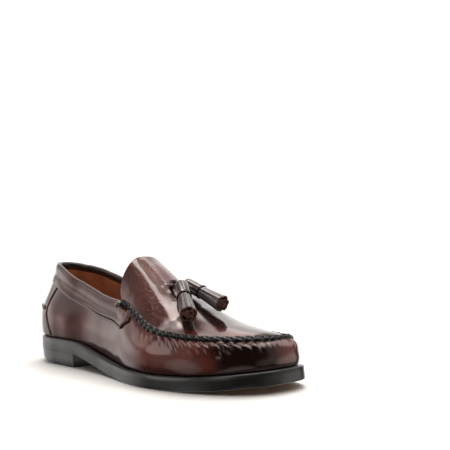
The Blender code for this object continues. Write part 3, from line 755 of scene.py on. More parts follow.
def make_stitch_tree():
    """Puts one short, plump stitch on each point, turned by the point's own directions."""
    tree = bpy.data.node_groups.new("stitches", "GeometryNodeTree")
    for name, kind in (("Line", "Geometry"), ("Length", "Float"), ("Thickness", "Float"),
                       ("Unevenness", "Float"), ("Seed", "Int"), ("Finish", "Material")):
        tree.interface.new_socket(name, in_out="INPUT", socket_type="NodeSocket" + kind)
    tree.interface.new_socket("Stitches", in_out="OUTPUT", socket_type="NodeSocketGeometry")
    nodes = Nodes(tree)
    line, length, thickness, uneven, seed, finish = (nodes.node("NodeGroupInput", {}, {}, k)
                                                     for k in range(6))
    ball = nodes.node("GeometryNodeMeshUVSphere", {}, {"Segments": 8, "Rings": 6, "Radius": 0.5})
    ahead, out = (nodes.node("GeometryNodeInputNamedAttribute", {"data_type": "FLOAT_VECTOR"},
                             {"Name": name}) for name in ("ahead", "out"))
    turned = nodes.node("FunctionNodeAlignRotationToVector", {"axis": "X"}, {"Vector": ahead})
    turned = nodes.node("FunctionNodeAlignRotationToVector", {"axis": "Z", "pivot_axis": "X"},
                        {"Rotation": turned, "Vector": out})
    vary = nodes.node("FunctionNodeRandomValue", {"data_type": "FLOAT"},
                      {2: 1 - uneven, 3: 1 + uneven, "Seed": seed}, 1)
    size = nodes.node("ShaderNodeCombineXYZ", {}, {0: length * vary, 1: thickness, 2: thickness})
    placed_stitches = nodes.node("GeometryNodeInstanceOnPoints", {},
                                 {"Points": line, "Instance": ball, "Rotation": turned,
                                  "Scale": size})
    real = nodes.node("GeometryNodeRealizeInstances", {}, {"Geometry": placed_stitches})
    done = nodes.node("GeometryNodeSetMaterial", {}, {"Geometry": real, "Material": finish})
    nodes.node("NodeGroupOutput", {}, {0: done})
    return tree


STITCH_TREE = make_stitch_tree()
STITCH_SEED = 3


def sew(name, lines, length, thickness, uneven):
    """Stitches of thread along lines, each of points and the ways ahead and outward there."""
    centres, ahead, out = (np.concatenate(parts) for parts in zip(*lines))
    mesh = bpy.data.meshes.new(name)
    mesh.from_pydata(placed(centres).tolist(), [], [])
    for key, vectors in (("ahead", ahead), ("out", out)):
        mesh.attributes.new(key, "FLOAT_VECTOR", "POINT").data.foreach_set(
            "vector", np.asarray(vectors, np.float32).ravel())
    line = put_in_scene(name + "_line", mesh)
    sewing = line.modifiers.new("stitches", "NODES")
    sewing.node_group = STITCH_TREE
    sockets = {item.name: item.identifier for item in STITCH_TREE.interface.items_tree
               if item.in_out == "INPUT"}
    for key, value in (("Length", length), ("Thickness", thickness), ("Unevenness", uneven),
                       ("Seed", STITCH_SEED), ("Finish", THREAD)):
        sewing[sockets[key]] = value
    plain = bpy.data.meshes.new_from_object(
        line.evaluated_get(bpy.context.evaluated_depsgraph_get()))
    plain.name = name
    bpy.data.objects.remove(line)
    plain.shade_smooth()
    hand_in(name, plain)


# The upper

REAR_STEPS, FRONT_STEPS = 5, 10
HALF = np.concatenate([np.arange(REAR_STATIONS * REAR_STEPS) / REAR_STEPS,
                       REAR_STATIONS + np.arange(FRONT_STATIONS * FRONT_STEPS + 1) / FRONT_STEPS])
PLACES = np.concatenate([HALF, LAP - HALF[-2:0:-1]])
COLUMNS = len(PLACES)
REAR_COLUMNS = REAR_STATIONS * REAR_STEPS
APRON_COLUMNS = 52
SPREAD = np.arange(APRON_COLUMNS + 1) / APRON_COLUMNS
ACROSS = 0.5 * SPREAD + 0.5 * (0.5 - 0.5 * np.cos(np.pi * SPREAD))
APRON_STATIONS = HALF[REAR_COLUMNS:-1]


def wall_detail(place, down):
    """How far the wall's leather stands out: gathers under the seam."""
    walked = slanted(place, down)
    gather = gather_strength(place)
    bulge = ease(down, -0.0015, 0.0076) * fade(down, 0.0078, GATHER_REACH)
    pleat = (1 - puffs(walked, 0.5)) * fade(down, 0.005, 0.016)
    forms = soft_forms(WALL_FORMS, sided(place)[0], down) * fade(down, 0.045, 0.058)
    swell = gather * gather_size(walked) * (puffs(walked) * bulge - 0.2 * pleat)
    return GATHER_DEPTH * (swell + gather * bulge * 0.45) + forms


def apron_detail(station, across, gap):
    """How far the apron's leather stands out: small puckers beside the seam."""
    place = np.where(across < 0.5, station, LAP - station)
    strength = gather_strength(place)
    reach = fade(gap, 0.001, 0.007)
    inside = np.sin(np.pi * np.clip(across, 0, 1)) ** 0.3
    return (0.16 * GATHER_DEPTH * strength * (puffs(seam_walked(place)) - 0.5) * reach
            + soft_forms(APRON_FORMS, station, across) * inside * ease(station, 20.0, 20.6))


def shell_faces(rows, first=0):
    """Faces of the wall's rings and of the apron that joins their last one, and its two edges."""
    faces = grid_faces(rows, COLUMNS, closed=True, first=first)
    top, inside = first + (rows - 1) * COLUMNS, first + rows * COLUMNS
    edges = []
    for row in range(len(APRON_STATIONS)):
        line = [top + REAR_COLUMNS + row]
        line += [inside + row * (APRON_COLUMNS - 1) + k for k in range(APRON_COLUMNS - 1)]
        edges.append(line + [top + (COLUMNS - REAR_COLUMNS - row) % COLUMNS])
    for near, far in zip(edges, edges[1:]):
        faces += strip(near, far, False)
    toe = top + REAR_COLUMNS + len(APRON_STATIONS)
    faces += [(near, after, toe) for near, after in zip(edges[-1], edges[-1][1:])]
    opening = [top + k for k in range(REAR_COLUMNS)] + edges[0]
    opening += [top + COLUMNS - k for k in range(REAR_COLUMNS - 1, 0, -1)]
    return faces, opening, [first + k for k in range(COLUMNS)]


def plan_ring(places, inset, height):
    """A line inside the sole's outline, at a height that follows from its share of the length."""
    plan = inset_place(places, inset)
    return np.column_stack([plan, height(plan[:, 0] / SOLE_LENGTH)])


def upper_sheet(ups, outside):
    """The upper's outer or inner face: its points, its rings and what its finishes read."""
    place, up = np.meshgrid(PLACES, ups)
    wall, normal = wall_point(place, up), wall_normal(place, up)
    steps = np.linalg.norm(np.diff(wall, axis=0), axis=-1)
    down = np.concatenate([np.cumsum(steps[::-1], axis=0)[::-1], np.zeros((1, COLUMNS))])
    station, across = np.meshgrid(APRON_STATIONS, ACROSS[1:-1], indexing="ij")
    apron, lifted = apron_point(station, across), apron_normal(station, across)
    edge = np.where((across < 0.5)[..., None], top_line(station), top_line(LAP - station))
    gap = np.linalg.norm(apron - edge, axis=-1)
    # The corner between wall and apron leans halfway between the two
    corner = slice(REAR_COLUMNS, COLUMNS - REAR_COLUMNS + 1)
    beside = np.concatenate([apron_normal(APRON_STATIONS, 0.02), [[0.0, 0.0, 1.0]],
                             apron_normal(APRON_STATIONS, 0.98)[::-1]])
    normal[-1, corner] = unit(unit(normal[-1, corner]) + beside)
    foot, feather, lift, apron_lift = CLEARANCE + WALL, WALL + FEATHER_RADIUS, -WALL, -WALL
    if outside:
        foot, feather = CLEARANCE, FEATHER_RADIUS / 2
        lift = wall_detail(place, down)[..., None]
        apron_lift = apron_detail(station, across, gap)[..., None]
    wall, apron = wall + normal * lift, apron + lifted * apron_lift
    rings = [plan_ring(PLACES, ledge(PLACES) + inset, lambda share: sole_top(share) + foot)
             for inset in (MARGIN_WIDTH, feather)]
    points = np.concatenate([*rings, wall.reshape(-1, 3), apron.reshape(-1, 3)])
    rows, low = len(rings) + len(ups), len(rings)

    # Painted shade darkens and dulls the valleys between the gathers and the margin under the sole,
    # flex wrinkles, and the tone darkens the heel and the wall towards its foot and paints shade on
    # the toe's lateral flank and on the apron
    painted_shade, flex, dye_and_shade = np.zeros((3, rows, COLUMNS))
    there, side = sided(place)
    # Painted shade on the toe's lateral flank, stopping short of the tip and reaching less far on the
    # medial side
    front = np.where(side < 0, 44.9, 39.0)
    toe = (ease(there, 33.5, 36.5) * fade(there, front - 0.4, front + 0.4)
           * fade(up, 0.8, 0.97) * 0.97)
    heel = 0.45 * fade(there, 9, 19) * ease(up, 0.35, 0.6)
    dye_and_shade[low:] = np.maximum(np.maximum(toe, heel), 0.55 * fade(up, 0.03, 0.26))
    gather = gather_strength(PLACES)
    flex[low:] = 0.15 * gather * fade(down, 0.004, 0.02)
    if outside:
        # Painted shade in the valleys between the gathers
        valley = (1 - puffs(slanted(place, down), 0.5)) * fade(down, 0.003, 0.012)
        painted_shade[low:] = np.clip(valley * gather * 0.55, 0, 1)
        # Painted shade on the margin where the upper turns under onto the sole
        painted_shade[:low] = 0.9
    share = apron[..., 0] / SOLE_LENGTH
    apron_flex = (0.75 * ease(share, 0.42, 0.5) * fade(share, 0.6, 0.72)
                  * (0.35 + 0.65 * fade(across, 0.3, 0.55)))
    # A darker dye over the apron, and painted shade on the plug under the near tassel and across its
    # middle and medial front
    apron_dye_and_shade = (0.22 + 0.34 * fade(across, 0.14, 0.26) * ease(share, 0.58, 0.64)
                  * fade(share, 0.7, 0.78)
                  + 0.72 * ease(across, 0.2, 0.34) * ease(share, 0.56, 0.66))
    # Painted shadow of the near tassel on the apron
    tassel_shadow = 0.9 * bell(share - 0.775, 0.026, 4) * bell(across - 0.19, 0.085, 4)
    pairs = ((painted_shade, share * 0), (flex, apron_flex), (dye_and_shade, np.maximum(apron_dye_and_shade, tassel_shadow)))
    return points, rows, [np.concatenate([low.ravel(), high.ravel()]) for low, high in pairs]


def make_upper():
    outer_ups = np.concatenate([[0.02, 0.05], np.linspace(0.08, 1.0, 52)])
    outer, outer_rows, outer_values = upper_sheet(outer_ups, True)
    inner, inner_rows, inner_values = upper_sheet(np.linspace(0.06, 1.0, 18), False)
    faces, opening, margin = shell_faces(outer_rows)
    inner_faces, inner_opening, inner_margin = shell_faces(inner_rows, len(outer))
    points = np.concatenate([outer, inner])
    # A rounded rim between the two loops of the opening
    middle = (points[opening] + points[inner_opening]) / 2
    ahead = np.roll(middle, -1, axis=0) - np.roll(middle, 1, axis=0)
    rise = unit(np.cross(ahead, points[opening] - points[inner_opening]))
    rise *= np.sign(rise[:, 2:3])
    rim = range(len(points), len(points) + len(opening))
    points = np.concatenate([points, middle + rise * WALL * 0.3])
    edges = strip(opening, rim) + strip(rim, inner_opening) + strip(margin, inner_margin)
    slots = np.repeat([0, 1, 0], [len(faces), len(inner_faces), len(edges)])
    painted_shade, flex, dye_and_shade = (np.concatenate([outer_part, inner_part, np.zeros(len(rim))])
                           for outer_part, inner_part in zip(outer_values, inner_values))
    add_piece("upper_skin", (points, faces + inner_faces + edges), (BURGUNDY, LINING),
              ("upper",), slots,
              {"painted_shade": painted_shade, "flex": flex, "dye_and_shade": dye_and_shade}, sharp=60)


# What lies on the upper

def seam_frame(places):
    """The seam's edge, the points beside it on apron and wall, and the two outward directions."""
    station, side = sided(places)
    up = 1 - SEAM_WIDTH / 2 / wall_height(places)
    wall_side = wall_point(places, up)
    wall_out = wall_normal(places, up)
    width = np.linalg.norm(top_line(station) - top_line(LAP - station), axis=-1)
    beside = np.clip(SEAM_WIDTH * 0.5 / np.maximum(width, 1e-4), 0, 0.45)
    across = np.where(side < 0, beside, 1 - beside)
    reach = np.minimum(station, STATIONS - 0.4)
    return (top_line(places), apron_point(reach, across), wall_side,
            apron_normal(reach, across), wall_out)


def seam_fullness(walked):
    """The seam is slim where it starts on both sides and full from there on."""
    medial = ease(walked / SEAM_WALK[-1], 0.5, 0.56)
    return ((0.58 + 0.46 * ease(walked, 0.004, 0.034)
             * ease(SEAM_WALK[-1] - walked, 0.004, 0.034)) * (1 - 0.22 * medial))


def seam_section(seam, share):
    """From the seam's edge to a point between its two feet, and the way outward there."""
    edge, apron_side, wall_side, apron_out, wall_out = seam
    control = 2 * edge - (apron_side + wall_side) / 2
    base = (apron_side * (1 - share) ** 2 + control * 2 * share * (1 - share)
            + wall_side * share ** 2)
    return base - edge, unit(apron_out * (1 - share) + wall_out * share)


def make_seam_ridge():
    """The raised hand-sewn seam: leather pinched down at each stitch."""
    walked = np.linspace(0, SEAM_WALK[-1], 1300)
    seam = seam_frame(seam_place(walked))
    edge, apron_side, wall_side, apron_out, wall_out = seam
    full, lump = seam_fullness(walked)[:, None], puffs(walked, 0.65)[:, None]
    grow, wide = full * (0.6 + 0.68 * lump), full * (0.92 + 0.28 * lump)
    lines = []
    for share in np.linspace(0, 1, 13):
        base, lean = seam_section(seam, share)
        groove = 0.16 * bell(share - 0.5, 0.12)
        bulge = math.sin(math.pi * share) ** 0.5 * (1 - groove)
        lines.append(edge + base * wide + lean * (bulge * SEAM_RISE * grow - 0.0002))
    for share in (0.85, 0.5, 0.15):
        base = apron_side * (1 - share) + wall_side * share
        lines.append(edge + (base - edge) * 0.6 * wide - unit(apron_out + wall_out) * 0.0012)
    add_piece("apron_ridge", across_rings(lines), (DARK_TRIM,), ("apron_seam",))
    make_seam_threads()
    make_seam_starts()


def make_seam_threads():
    """Waxed thread that crosses the ridge twice at each stitch, in short beads."""
    walked = STITCHES_AT[1:-1]
    full = seam_fullness(walked)[:, None]
    lines = []
    for offset, slant in ((-0.0006, -0.35), (0.0006, 0.35)):
        for share in (0.12, 0.32, 0.5, 0.68, 0.88):
            seam = seam_frame(seam_place(walked + offset + (share - 0.5) * slant * 0.003))
            base, lean = seam_section(seam, share)
            rise = math.sin(math.pi * share) ** 0.5 * SEAM_RISE * 0.66 * full + 0.0002
            span = seam[2] - seam[1]
            tip = (share - 0.5) * 2 * np.linalg.norm(span, axis=-1, keepdims=True)
            lines.append((seam[0] + base * full * 0.95 + lean * rise, unit(span - lean * tip), lean))
    sew("seam_thread", lines, 0.0019, 0.00085, 0.1)


def seam_axes(walked):
    """The seam's edge at one point, and the ways outward, sideways and along there."""
    edge, apron_side, wall_side, apron_out, wall_out = (
        row[0] for row in seam_frame(seam_place(np.array([walked]))))
    lean, beside = unit(apron_out + wall_out), unit(wall_side - apron_side)
    return edge, lean, beside, np.cross(lean, beside)


# Thread wound round the seam's start: distance from it, size and slant of each turn
WRAPS = ((0.0014, 1.45, 0.1), (0.0038, 1.55, -0.2), (0.0066, 1.4, 0.5),
         (0.0096, 1.2, -0.5), (0.0135, 1.0, 0.55), (0.0178, 0.85, -0.55))
WRAP_RADIUS = 0.00065


def make_seam_starts():
    """Thread wound round the seam where it starts on each side, and the seam's own rolled end."""
    wraps, ends = [], []
    for side, start in ((-1, 0.0), (1, SEAM_WALK[-1])):
        for at, size, slant in WRAPS:
            edge, lean, beside, ahead = seam_axes(start - side * at)
            wide, high = beside * 0.0021 * size, lean * 0.0017 * size
            spokes = unit(oval(np.zeros(3), wide, high, 28))
            centres = oval(edge, wide + ahead * slant * 0.0022, high, 28)
            wraps.append(tube(oval(centres, spokes * WRAP_RADIUS, ahead * WRAP_RADIUS, 8), True))
        edge, lean, beside, ahead = seam_axes(start - side * 0.0036)
        turn = np.linspace(0.02, np.pi - 0.02, 15)[:, None]
        centres = edge + lean * 0.0046 + ahead * 0.0034 * (side + np.cos(turn))
        ends.append(tube(oval(centres, beside * 0.0026 * np.sin(turn),
                              lean * 0.0024 * np.sin(turn), 20)))
    add_piece("seam_wraps", joined(wraps), (THREAD,))
    add_piece("seam_ends", joined(ends), (TASSEL,))


def band_edges(place):
    """Share of the wall's height at the band's lower and upper edge."""
    forward = np.abs(place) - REAR_STATIONS
    low = 1 - BAND_WIDTH / wall_height(np.abs(place))
    extra, top = smooth(BAND_FRONT, forward, 1), smooth(BAND_FRONT, forward, 2)
    return np.where(forward >= 0, low + extra, low), np.where(forward >= 0, top, 1.0)


def band_surface(rows, places):
    low, high = band_edges(places)
    return low + (high - low) * rows


def make_collar_band():
    front = REAR_STATIONS + BAND_FRONT[-1][0]
    places = np.linspace(-front, front, 481)
    rows = np.concatenate([np.linspace(0, 0.2, 22)[:-1], np.linspace(0.2, 0.84, 16)[:-1],
                           np.linspace(0.84, 1, 18)])
    up = band_surface(rows[:, None], places)
    place = np.broadcast_to(places, up.shape)
    from_foot, from_top = rows[:, None] * BAND_WIDTH, (1 - rows[:, None]) * BAND_WIDTH
    ends = (front - np.abs(place)) * 0.0062
    rim = np.minimum(np.minimum(from_foot, from_top), ends)
    toward_front = ease(np.abs(place), 13.0, 18.0)
    rise = np.sqrt(1 - (1 - np.clip(rim / (0.0026 - 0.0016 * toward_front), 0, 1)) ** 2)
    trough = bell(rows[:, None] - 0.5, 0.15) * fade(np.abs(place), 18.5, 22.0)
    seam = bell(np.minimum(from_foot, ends) - 0.0028, 0.00055) * toward_front
    bead = bell(from_top - 0.0022, 0.0004) * (np.abs(place) < REAR_STATIONS)
    thick = (BAND_THICKNESS * rise + 0.0003
             - rise * (0.0007 * trough + 0.0005 * seam + 0.0003 * bead))
    skin = slab(lifted_wall(place, up, thick), lifted_wall(place, up, -TUCK))
    # Painted shade in the stitch groove, in the groove under the top and along the cut edges
    cut = bell(from_foot, 0.0007) * (0.25 + 0.55 * toward_front) + bell(ends, 0.0018)
    painted_shade = np.clip(0.6 * seam + 0.4 * bead + 0.95 * cut, 0, 1)
    under = np.ones(up.size)
    # Painted shade on the band's under face
    values = {"painted_shade": np.concatenate([painted_shade.ravel(), 0.95 * under]),
              "flex": np.concatenate([(0.1 + 0.25 * trough).ravel(), 0 * under]), "dye_and_shade": 0.42}
    add_piece("collar_band_skin", skin, (BURGUNDY,), ("collar_band",),
              values=values)
    make_band_stitches(front)


def along_line(points, walked, at, step):
    """Points at distances along a line, and the way ahead there."""
    here, beyond = (np.stack([np.interp(at + more, walked, axis) for axis in points.T], -1)
                    for more in (0.0, step))
    return here, unit(beyond - here)


def make_band_stitches(front):
    """A row of small stitches along the front of the band's foot and up its cut end."""
    row, end = 0.0028 / BAND_WIDTH, front - 0.45
    rows = np.concatenate([np.full(400, row), np.linspace(row, 0.9, 60)])
    forward = np.concatenate([np.linspace(13.0, end, 400), np.full(60, end)])
    lines = []
    for place in (forward, -forward):
        up = band_surface(rows, place)
        points = lifted_wall(place, up, BAND_THICKNESS + 0.00012)
        walked = walk(points)
        at = np.arange(0.0015, walked[-1] - 0.001, 0.0031)
        out = wall_normal(np.interp(at, walked, place), np.interp(at, walked, up))
        lines.append((*along_line(points, walked, at, 0.0008), out))
    sew("band_stitches", lines, 0.0021, 0.0005, 0.08)


def arc_table():
    """Distance round the heel from the middle of the back, by height share and place."""
    ups = np.linspace(0, 1, 41)
    places = np.linspace(0, 18, 361)
    place, up = np.meshgrid(places, ups)
    steps = np.linalg.norm(np.diff(wall_point(place, up), axis=1), axis=-1)
    return ups, places, np.concatenate([np.zeros((len(ups), 1)), np.cumsum(steps, axis=1)], axis=1)


ARC_UPS, ARC_PLACES, ARC_WALK = arc_table()


def round_the_back(up, reach):
    """Place at a distance along the wall from the middle of the back, signed."""
    found = np.empty(np.shape(reach))
    for index in np.ndindex(found.shape):
        row = up[index] * (len(ARC_UPS) - 1)
        k = min(int(row), len(ARC_UPS) - 2)
        walk = ARC_WALK[k] + (ARC_WALK[k + 1] - ARC_WALK[k]) * (row - k)
        found[index] = math.copysign(np.interp(abs(reach[index]), walk, ARC_PLACES), reach[index])
    return found


def make_heel_patch():
    along = np.linspace(0, 1, 41)[:, None]
    across = np.linspace(-1, 1, 97)[None, :]
    width = smooth(COUNTER_SHAPE, along, 1)
    reach = across * width * COUNTER_WIDTH / 2
    up = np.broadcast_to(along / 2, reach.shape).copy()
    for _ in range(3):
        place = round_the_back(up, reach)
        top = 1 - (BAND_WIDTH - 0.001) / wall_height(np.abs(place))
        up = COUNTER_FOOT_SHARE + (top - COUNTER_FOOT_SHARE) * along
    edge = (1 - np.abs(across)) * width * COUNTER_WIDTH / 2
    rise = np.clip(edge / 0.0009, 0, 1)
    rise = np.sqrt(1 - (1 - rise) ** 2) * np.ones_like(up)
    skin = slab(lifted_wall(place, up, COUNTER_THICKNESS * rise + 0.0001),
                lifted_wall(place, up, -TUCK))
    # Painted shade along the patch's edge
    painted_shade = 0.9 * bell(edge, 0.0008) * np.ones_like(up)
    add_piece("heel_patch", skin, (BURGUNDY,), ("heel_counter",),
              values={"painted_shade": np.concatenate([painted_shade.ravel(), 0 * up.ravel()]), "dye_and_shade": 0.5})


def make_back_ridge():
    across = np.linspace(-1, 1, 121)
    place = round_the_back(np.full(across.shape, RIDGE_PLACE_SHARE), across * RIDGE_LENGTH / 2)
    slim = 1 - 0.6 * np.abs(across) ** 14
    section = ((-0.56, 0), (-0.46, 0.22), (-0.1, 0.62), (0.28, 1), (0.4, 1.06), (0.47, 0.98),
               (0.5, 0.7), (0.52, 0), (0.2, -0.3), (-0.2, -0.3))
    lines = []
    for up, out in section:
        share = RIDGE_PLACE_SHARE + up * slim * RIDGE_HEIGHT / wall_height(0.0)
        lines.append(lifted_wall(place, share, COUNTER_THICKNESS * 0.9 + 0.0001
                                 + out * slim * RIDGE_DEPTH))
    add_piece("back_ridge", across_rings(lines), (DARK_TRIM,), ("heel_ridge",),
              sharp=50)


# Across and up from the collar's edge; the first three lines show on the outside
BINDING_SECTION = (
    (0.0012, -0.0006), (0.0015, -0.0002), (0.0013, 0.0004), (0.0006, 0.0009), (-0.0003, 0.0011),
    (-0.0013, 0.0008), (-0.0021, 0.0001), (-0.0026, -0.0012), (-0.0027, -0.003),
    (-0.0026, -0.0048), (-0.0023, -0.0058), (-0.0018, -0.006), (-0.0015, -0.004),
    (-0.0008, -0.002),
)


def make_topline_binding():
    """A strip folded over the collar's edge, black on the inside."""
    places = np.linspace(-REAR_STATIONS, REAR_STATIONS, 321)
    edge = top_line(places)
    out = wall_normal(places, 1.0)
    rise = unit(np.cross(out, top_line(places + PLAN_STEP) - top_line(places - PLAN_STEP)))
    rise *= np.sign(rise[:, 2:3])
    skin = across_rings([edge + out * across + rise * up for across, up in BINDING_SECTION])
    columns = len(BINDING_SECTION)
    round_faces = (len(places) - 1) * columns
    slots = [int(k % columns >= 3 or k >= round_faces) for k in range(len(skin[1]))]
    add_piece("topline_binding", skin, (BURGUNDY, STRIP),
              face_slots=slots, values={"dye_and_shade": 0.35})


# Sole and heel

def cap_strips(count, base):
    """Strips from one side of a closed ring to the other."""
    faces = []
    for k in range(count // 2):
        corners = [base + k, base + k + 1, base + (count - k - 1) % count, base + (count - k) % count]
        faces.append(tuple(dict.fromkeys(corners)))
    return faces


def stacked(rings):
    """A closed skin of level rings, one above the other, with strips across its foot and top."""
    count = len(rings[0])
    faces = grid_faces(len(rings), count, closed=True) + cap_strips(count, 0)
    return np.concatenate(rings), faces + cap_strips(count, (len(rings) - 1) * count)


SOLE_HALF = np.linspace(0, STATIONS, 277)
SOLE_PLACES = np.concatenate([SOLE_HALF[:-1], LAP - SOLE_HALF[:0:-1]])
HEEL_SHARE = HEEL_LENGTH / SOLE_LENGTH
CHANNEL_INSET = 0.008
# Inset from the outline, face (0 the foot, 1 the top), gap from it and share of the toe's flare
SOLE_RINGS = (
    (0.026, 0, 0, 0), (0.015, 0, 0, 0), (0.0146, 0, 0.0003, 0), (0.0142, 0, 0, 0),
    (0.0088, 0, 0, 0), (0.0083, 0, 0.0006, 0), (0.0077, 0, 0.0006, 0), (0.0072, 0, 0, 0),
    (0.0008, 0, 0, 1), (0.0002, 0, 0.0003, 1), (0, 0, 0.001, 1), (-0.0001, 0, 0.004, 0.7),
    (-0.0001, 1, 0.005, 0.3), (-0.0001, 1, 0.0011, 0), (0.0002, 1, 0.0007, 0),
    (0.0011, 1, 0.0001, 0), (0.0015, 1, 0, 0), (0.015, 1, 0, 0),
)
TREAD_RINGS = 9


def outsole_level(share, top, gap):
    if top:
        return sole_top(share) - gap
    return sole_rise(share) + gap * (0.1 + 0.9 * ease(share, HEEL_SHARE, HEEL_SHARE + 0.02))


def make_outsole():
    places, count = SOLE_PLACES, len(SOLE_PLACES)
    flare = 0.0009 * ease(sole_place(places)[:, 0] / SOLE_LENGTH, 0.86, 0.97)
    rings = [plan_ring(places, inset - flared * flare, lambda share: outsole_level(share, top, gap))
             for inset, top, gap, flared in SOLE_RINGS]
    points, faces = stacked(rings)
    slots = np.repeat([1, 0, 1, 0], [TREAD_RINGS * count, (len(rings) - 1 - TREAD_RINGS) * count,
                                     count // 2, count // 2])
    x = points[:, 0]
    arc = 0.137 + 0.012 * (1 - (points[:, 1] / (BALL_WIDTH / 2)) ** 2)
    inset = np.repeat([row[0] for row in SOLE_RINGS], count)
    # Painted shade in the channel and in the groove near the tread's edge
    groove_shade = (0.8 * (np.abs(inset - CHANNEL_INSET) < 0.0004)
              + 0.35 * (np.abs(inset - 0.0146) < 0.0002))
    paint = np.maximum(fade(x, arc - 0.0004, arc + 0.0004), 1.0 * (inset < 0.0012))
    # Painted sheen on the edge, full at the heel and fading out over the waist
    wear_and_sheen = 0.9 * fade(x / SOLE_LENGTH, HEEL_SHARE - 0.02, HEEL_SHARE + 0.1)
    add_piece("sole_layers", (points, faces), (EDGE, TREAD), ("outsole",), slots,
              {"paint": paint, "painted_shade": groove_shade, "wear_and_sheen": wear_and_sheen}, sharp=40)
    make_sole_stitches()


def make_sole_stitches():
    """Dark thread sunk in the channel round the tread's edge, forward of the heel."""
    places = np.linspace(16.0, LAP - 16.0, 1600)
    line = plan_ring(places, CHANNEL_INSET, lambda share: sole_rise(share) + 0.00045)
    walked = walk(line)
    at = np.arange(0.002, walked[-1] - 0.002, 0.004)
    down = np.tile([0.0, 0.0, -1.0], (len(at), 1))
    sew("sole_stitches", [(*along_line(line, walked, at, 0.001), down)], 0.003, 0.0007, 0.08)


def heel_ring(distance, height):
    """A closed ring of the heel: round at the back, straight across the breast."""
    shares = HEEL_SHARE * (1 - np.cos(np.linspace(0, np.pi / 2, 61)))
    ring = []
    for side, chosen in ((-1.0, shares), (1.0, shares[:0:-1])):
        edge = sole_edge(chosen, side)
        along = sole_edge(chosen + 0.002, side) - sole_edge(np.maximum(chosen - 0.002, 0), side)
        normal = unit(np.stack([-along[:, 1], along[:, 0]], -1)) * side
        normal[chosen == 0] = (-1.0, 0.0)
        plan = edge - normal * distance
        plan[:, 0] = np.minimum(plan[:, 0], HEEL_LENGTH - distance)
        ring.append(np.column_stack([plan, height(plan[:, 0] / SOLE_LENGTH)]))
    return np.concatenate(ring)


def stack_heel(name, rings, node):
    """A layer of the heel from its rings, from the foot up; its lowest face is rubber."""
    points, faces = stacked(rings)
    cap = len(rings[0]) // 2
    slots = np.repeat([0, 1, 0], [len(faces) - 2 * cap, cap, cap])
    # The heel's sides carry the edge's painted sheen in full
    add_piece(name, (points, faces), (EDGE, RUBBER), (node,), slots, {"wear_and_sheen": 1.0}, sharp=40)


def make_heel():
    foot = LIFT_THICKNESS + 0.00003
    rings = [heel_ring(HEEL_TAPER * inset,
                       lambda share: foot + rise * (sole_rise(share) - 0.0001 - foot))
             for inset, rise in ((0.8, 0.0), (0.5, 0.5), (0.2, 1.0))]
    stack_heel("heel_layers", rings, "heel_stack")
    rings = [heel_ring(HEEL_TAPER * taper + inset, lambda share: np.full_like(share, level))
             for taper, inset, level in ((1.8, 0.0008, 0.0), (1.8, 0.0, 0.0007),
                                         (0.8, 0.0, LIFT_THICKNESS))]
    stack_heel("heel_rubber", rings, "top_lift")


def make_sock():
    """The inner sole's cover, drawn up a little where it meets the lining."""
    foot, thick = WALL + 2 * CLEARANCE, INSOLE_THICKNESS
    places = SOLE_PLACES[::2]
    base = ledge(places) + WALL + 0.0006
    rings = [plan_ring(places, base + inset, lambda share: sole_top(share) + foot + height)
             for inset, height in ((0.001, 0.0), (0.0, 0.0008), (0.0, thick + 0.0008),
                                   (0.0012, thick + 0.0008), (0.005, thick + 0.0002),
                                   (0.018, thick))]
    add_piece("sock_lining", stacked(rings), (SOCK,), ("insole",), sharp=50)


# Tassels

def apron_under(x, y):
    """The apron's point and normal under a place in plan, taken as the nearest point of a fine grid.
    """
    station, across = np.meshgrid(np.linspace(REAR_STATIONS, STATIONS - 1, 400),
                                  np.linspace(0.02, 0.98, 97), indexing="ij")
    found = apron_point(station, across)
    gap = (found[..., 0] - x) ** 2 + (found[..., 1] - y) ** 2
    index = np.unravel_index(np.argmin(gap), gap.shape)
    return found[index], apron_normal(station[index], across[index])


def direction(turn, lift):
    """The way at so many degrees round the shoe and above the floor."""
    turn, lift = math.radians(turn), math.radians(lift)
    return math.cos(turn) * math.cos(lift), math.sin(turn) * math.cos(lift), math.sin(lift)


def tassel_axes(yaw, pitch):
    """The ways along, across and above a tassel."""
    turn = math.radians(yaw)
    along = np.array(direction(yaw, pitch))
    across = np.array([-math.sin(turn), math.cos(turn), 0.0])
    return along, across, np.cross(along, across)


# Share of the tassel's length and of the cap's radius, from the hollow in the cap's end round it
CAP_RINGS = (
    (0.11, 0.3), (0.06, 0.62), (0.052, 0.72), (0.05, 0.82), (0.055, 0.91), (0.07, 0.96),
    (0.12, 0.99), (0.24, 1.0), (0.36, 1.0), (0.425, 0.985), (0.44, 0.96), (0.455, 0.93),
    (0.52, 0.8),
)
# A cut strip's section in shares of its half width and thickness
STRIP_SECTION = ((-1, -0.2), (-0.95, 0.45), (-0.6, 0.78), (0, 0.88), (0.6, 0.78), (0.95, 0.45),
                 (1, -0.2), (0.9, -1.0), (0, -0.9), (-0.9, -1.0))
OUTER_STRIPS, STRIPS = 8, 19
STRIP_SEEDS = {"lateral": 5, "medial": 9}
INNER_TURN = 2.4
STRIP_START = 0.44


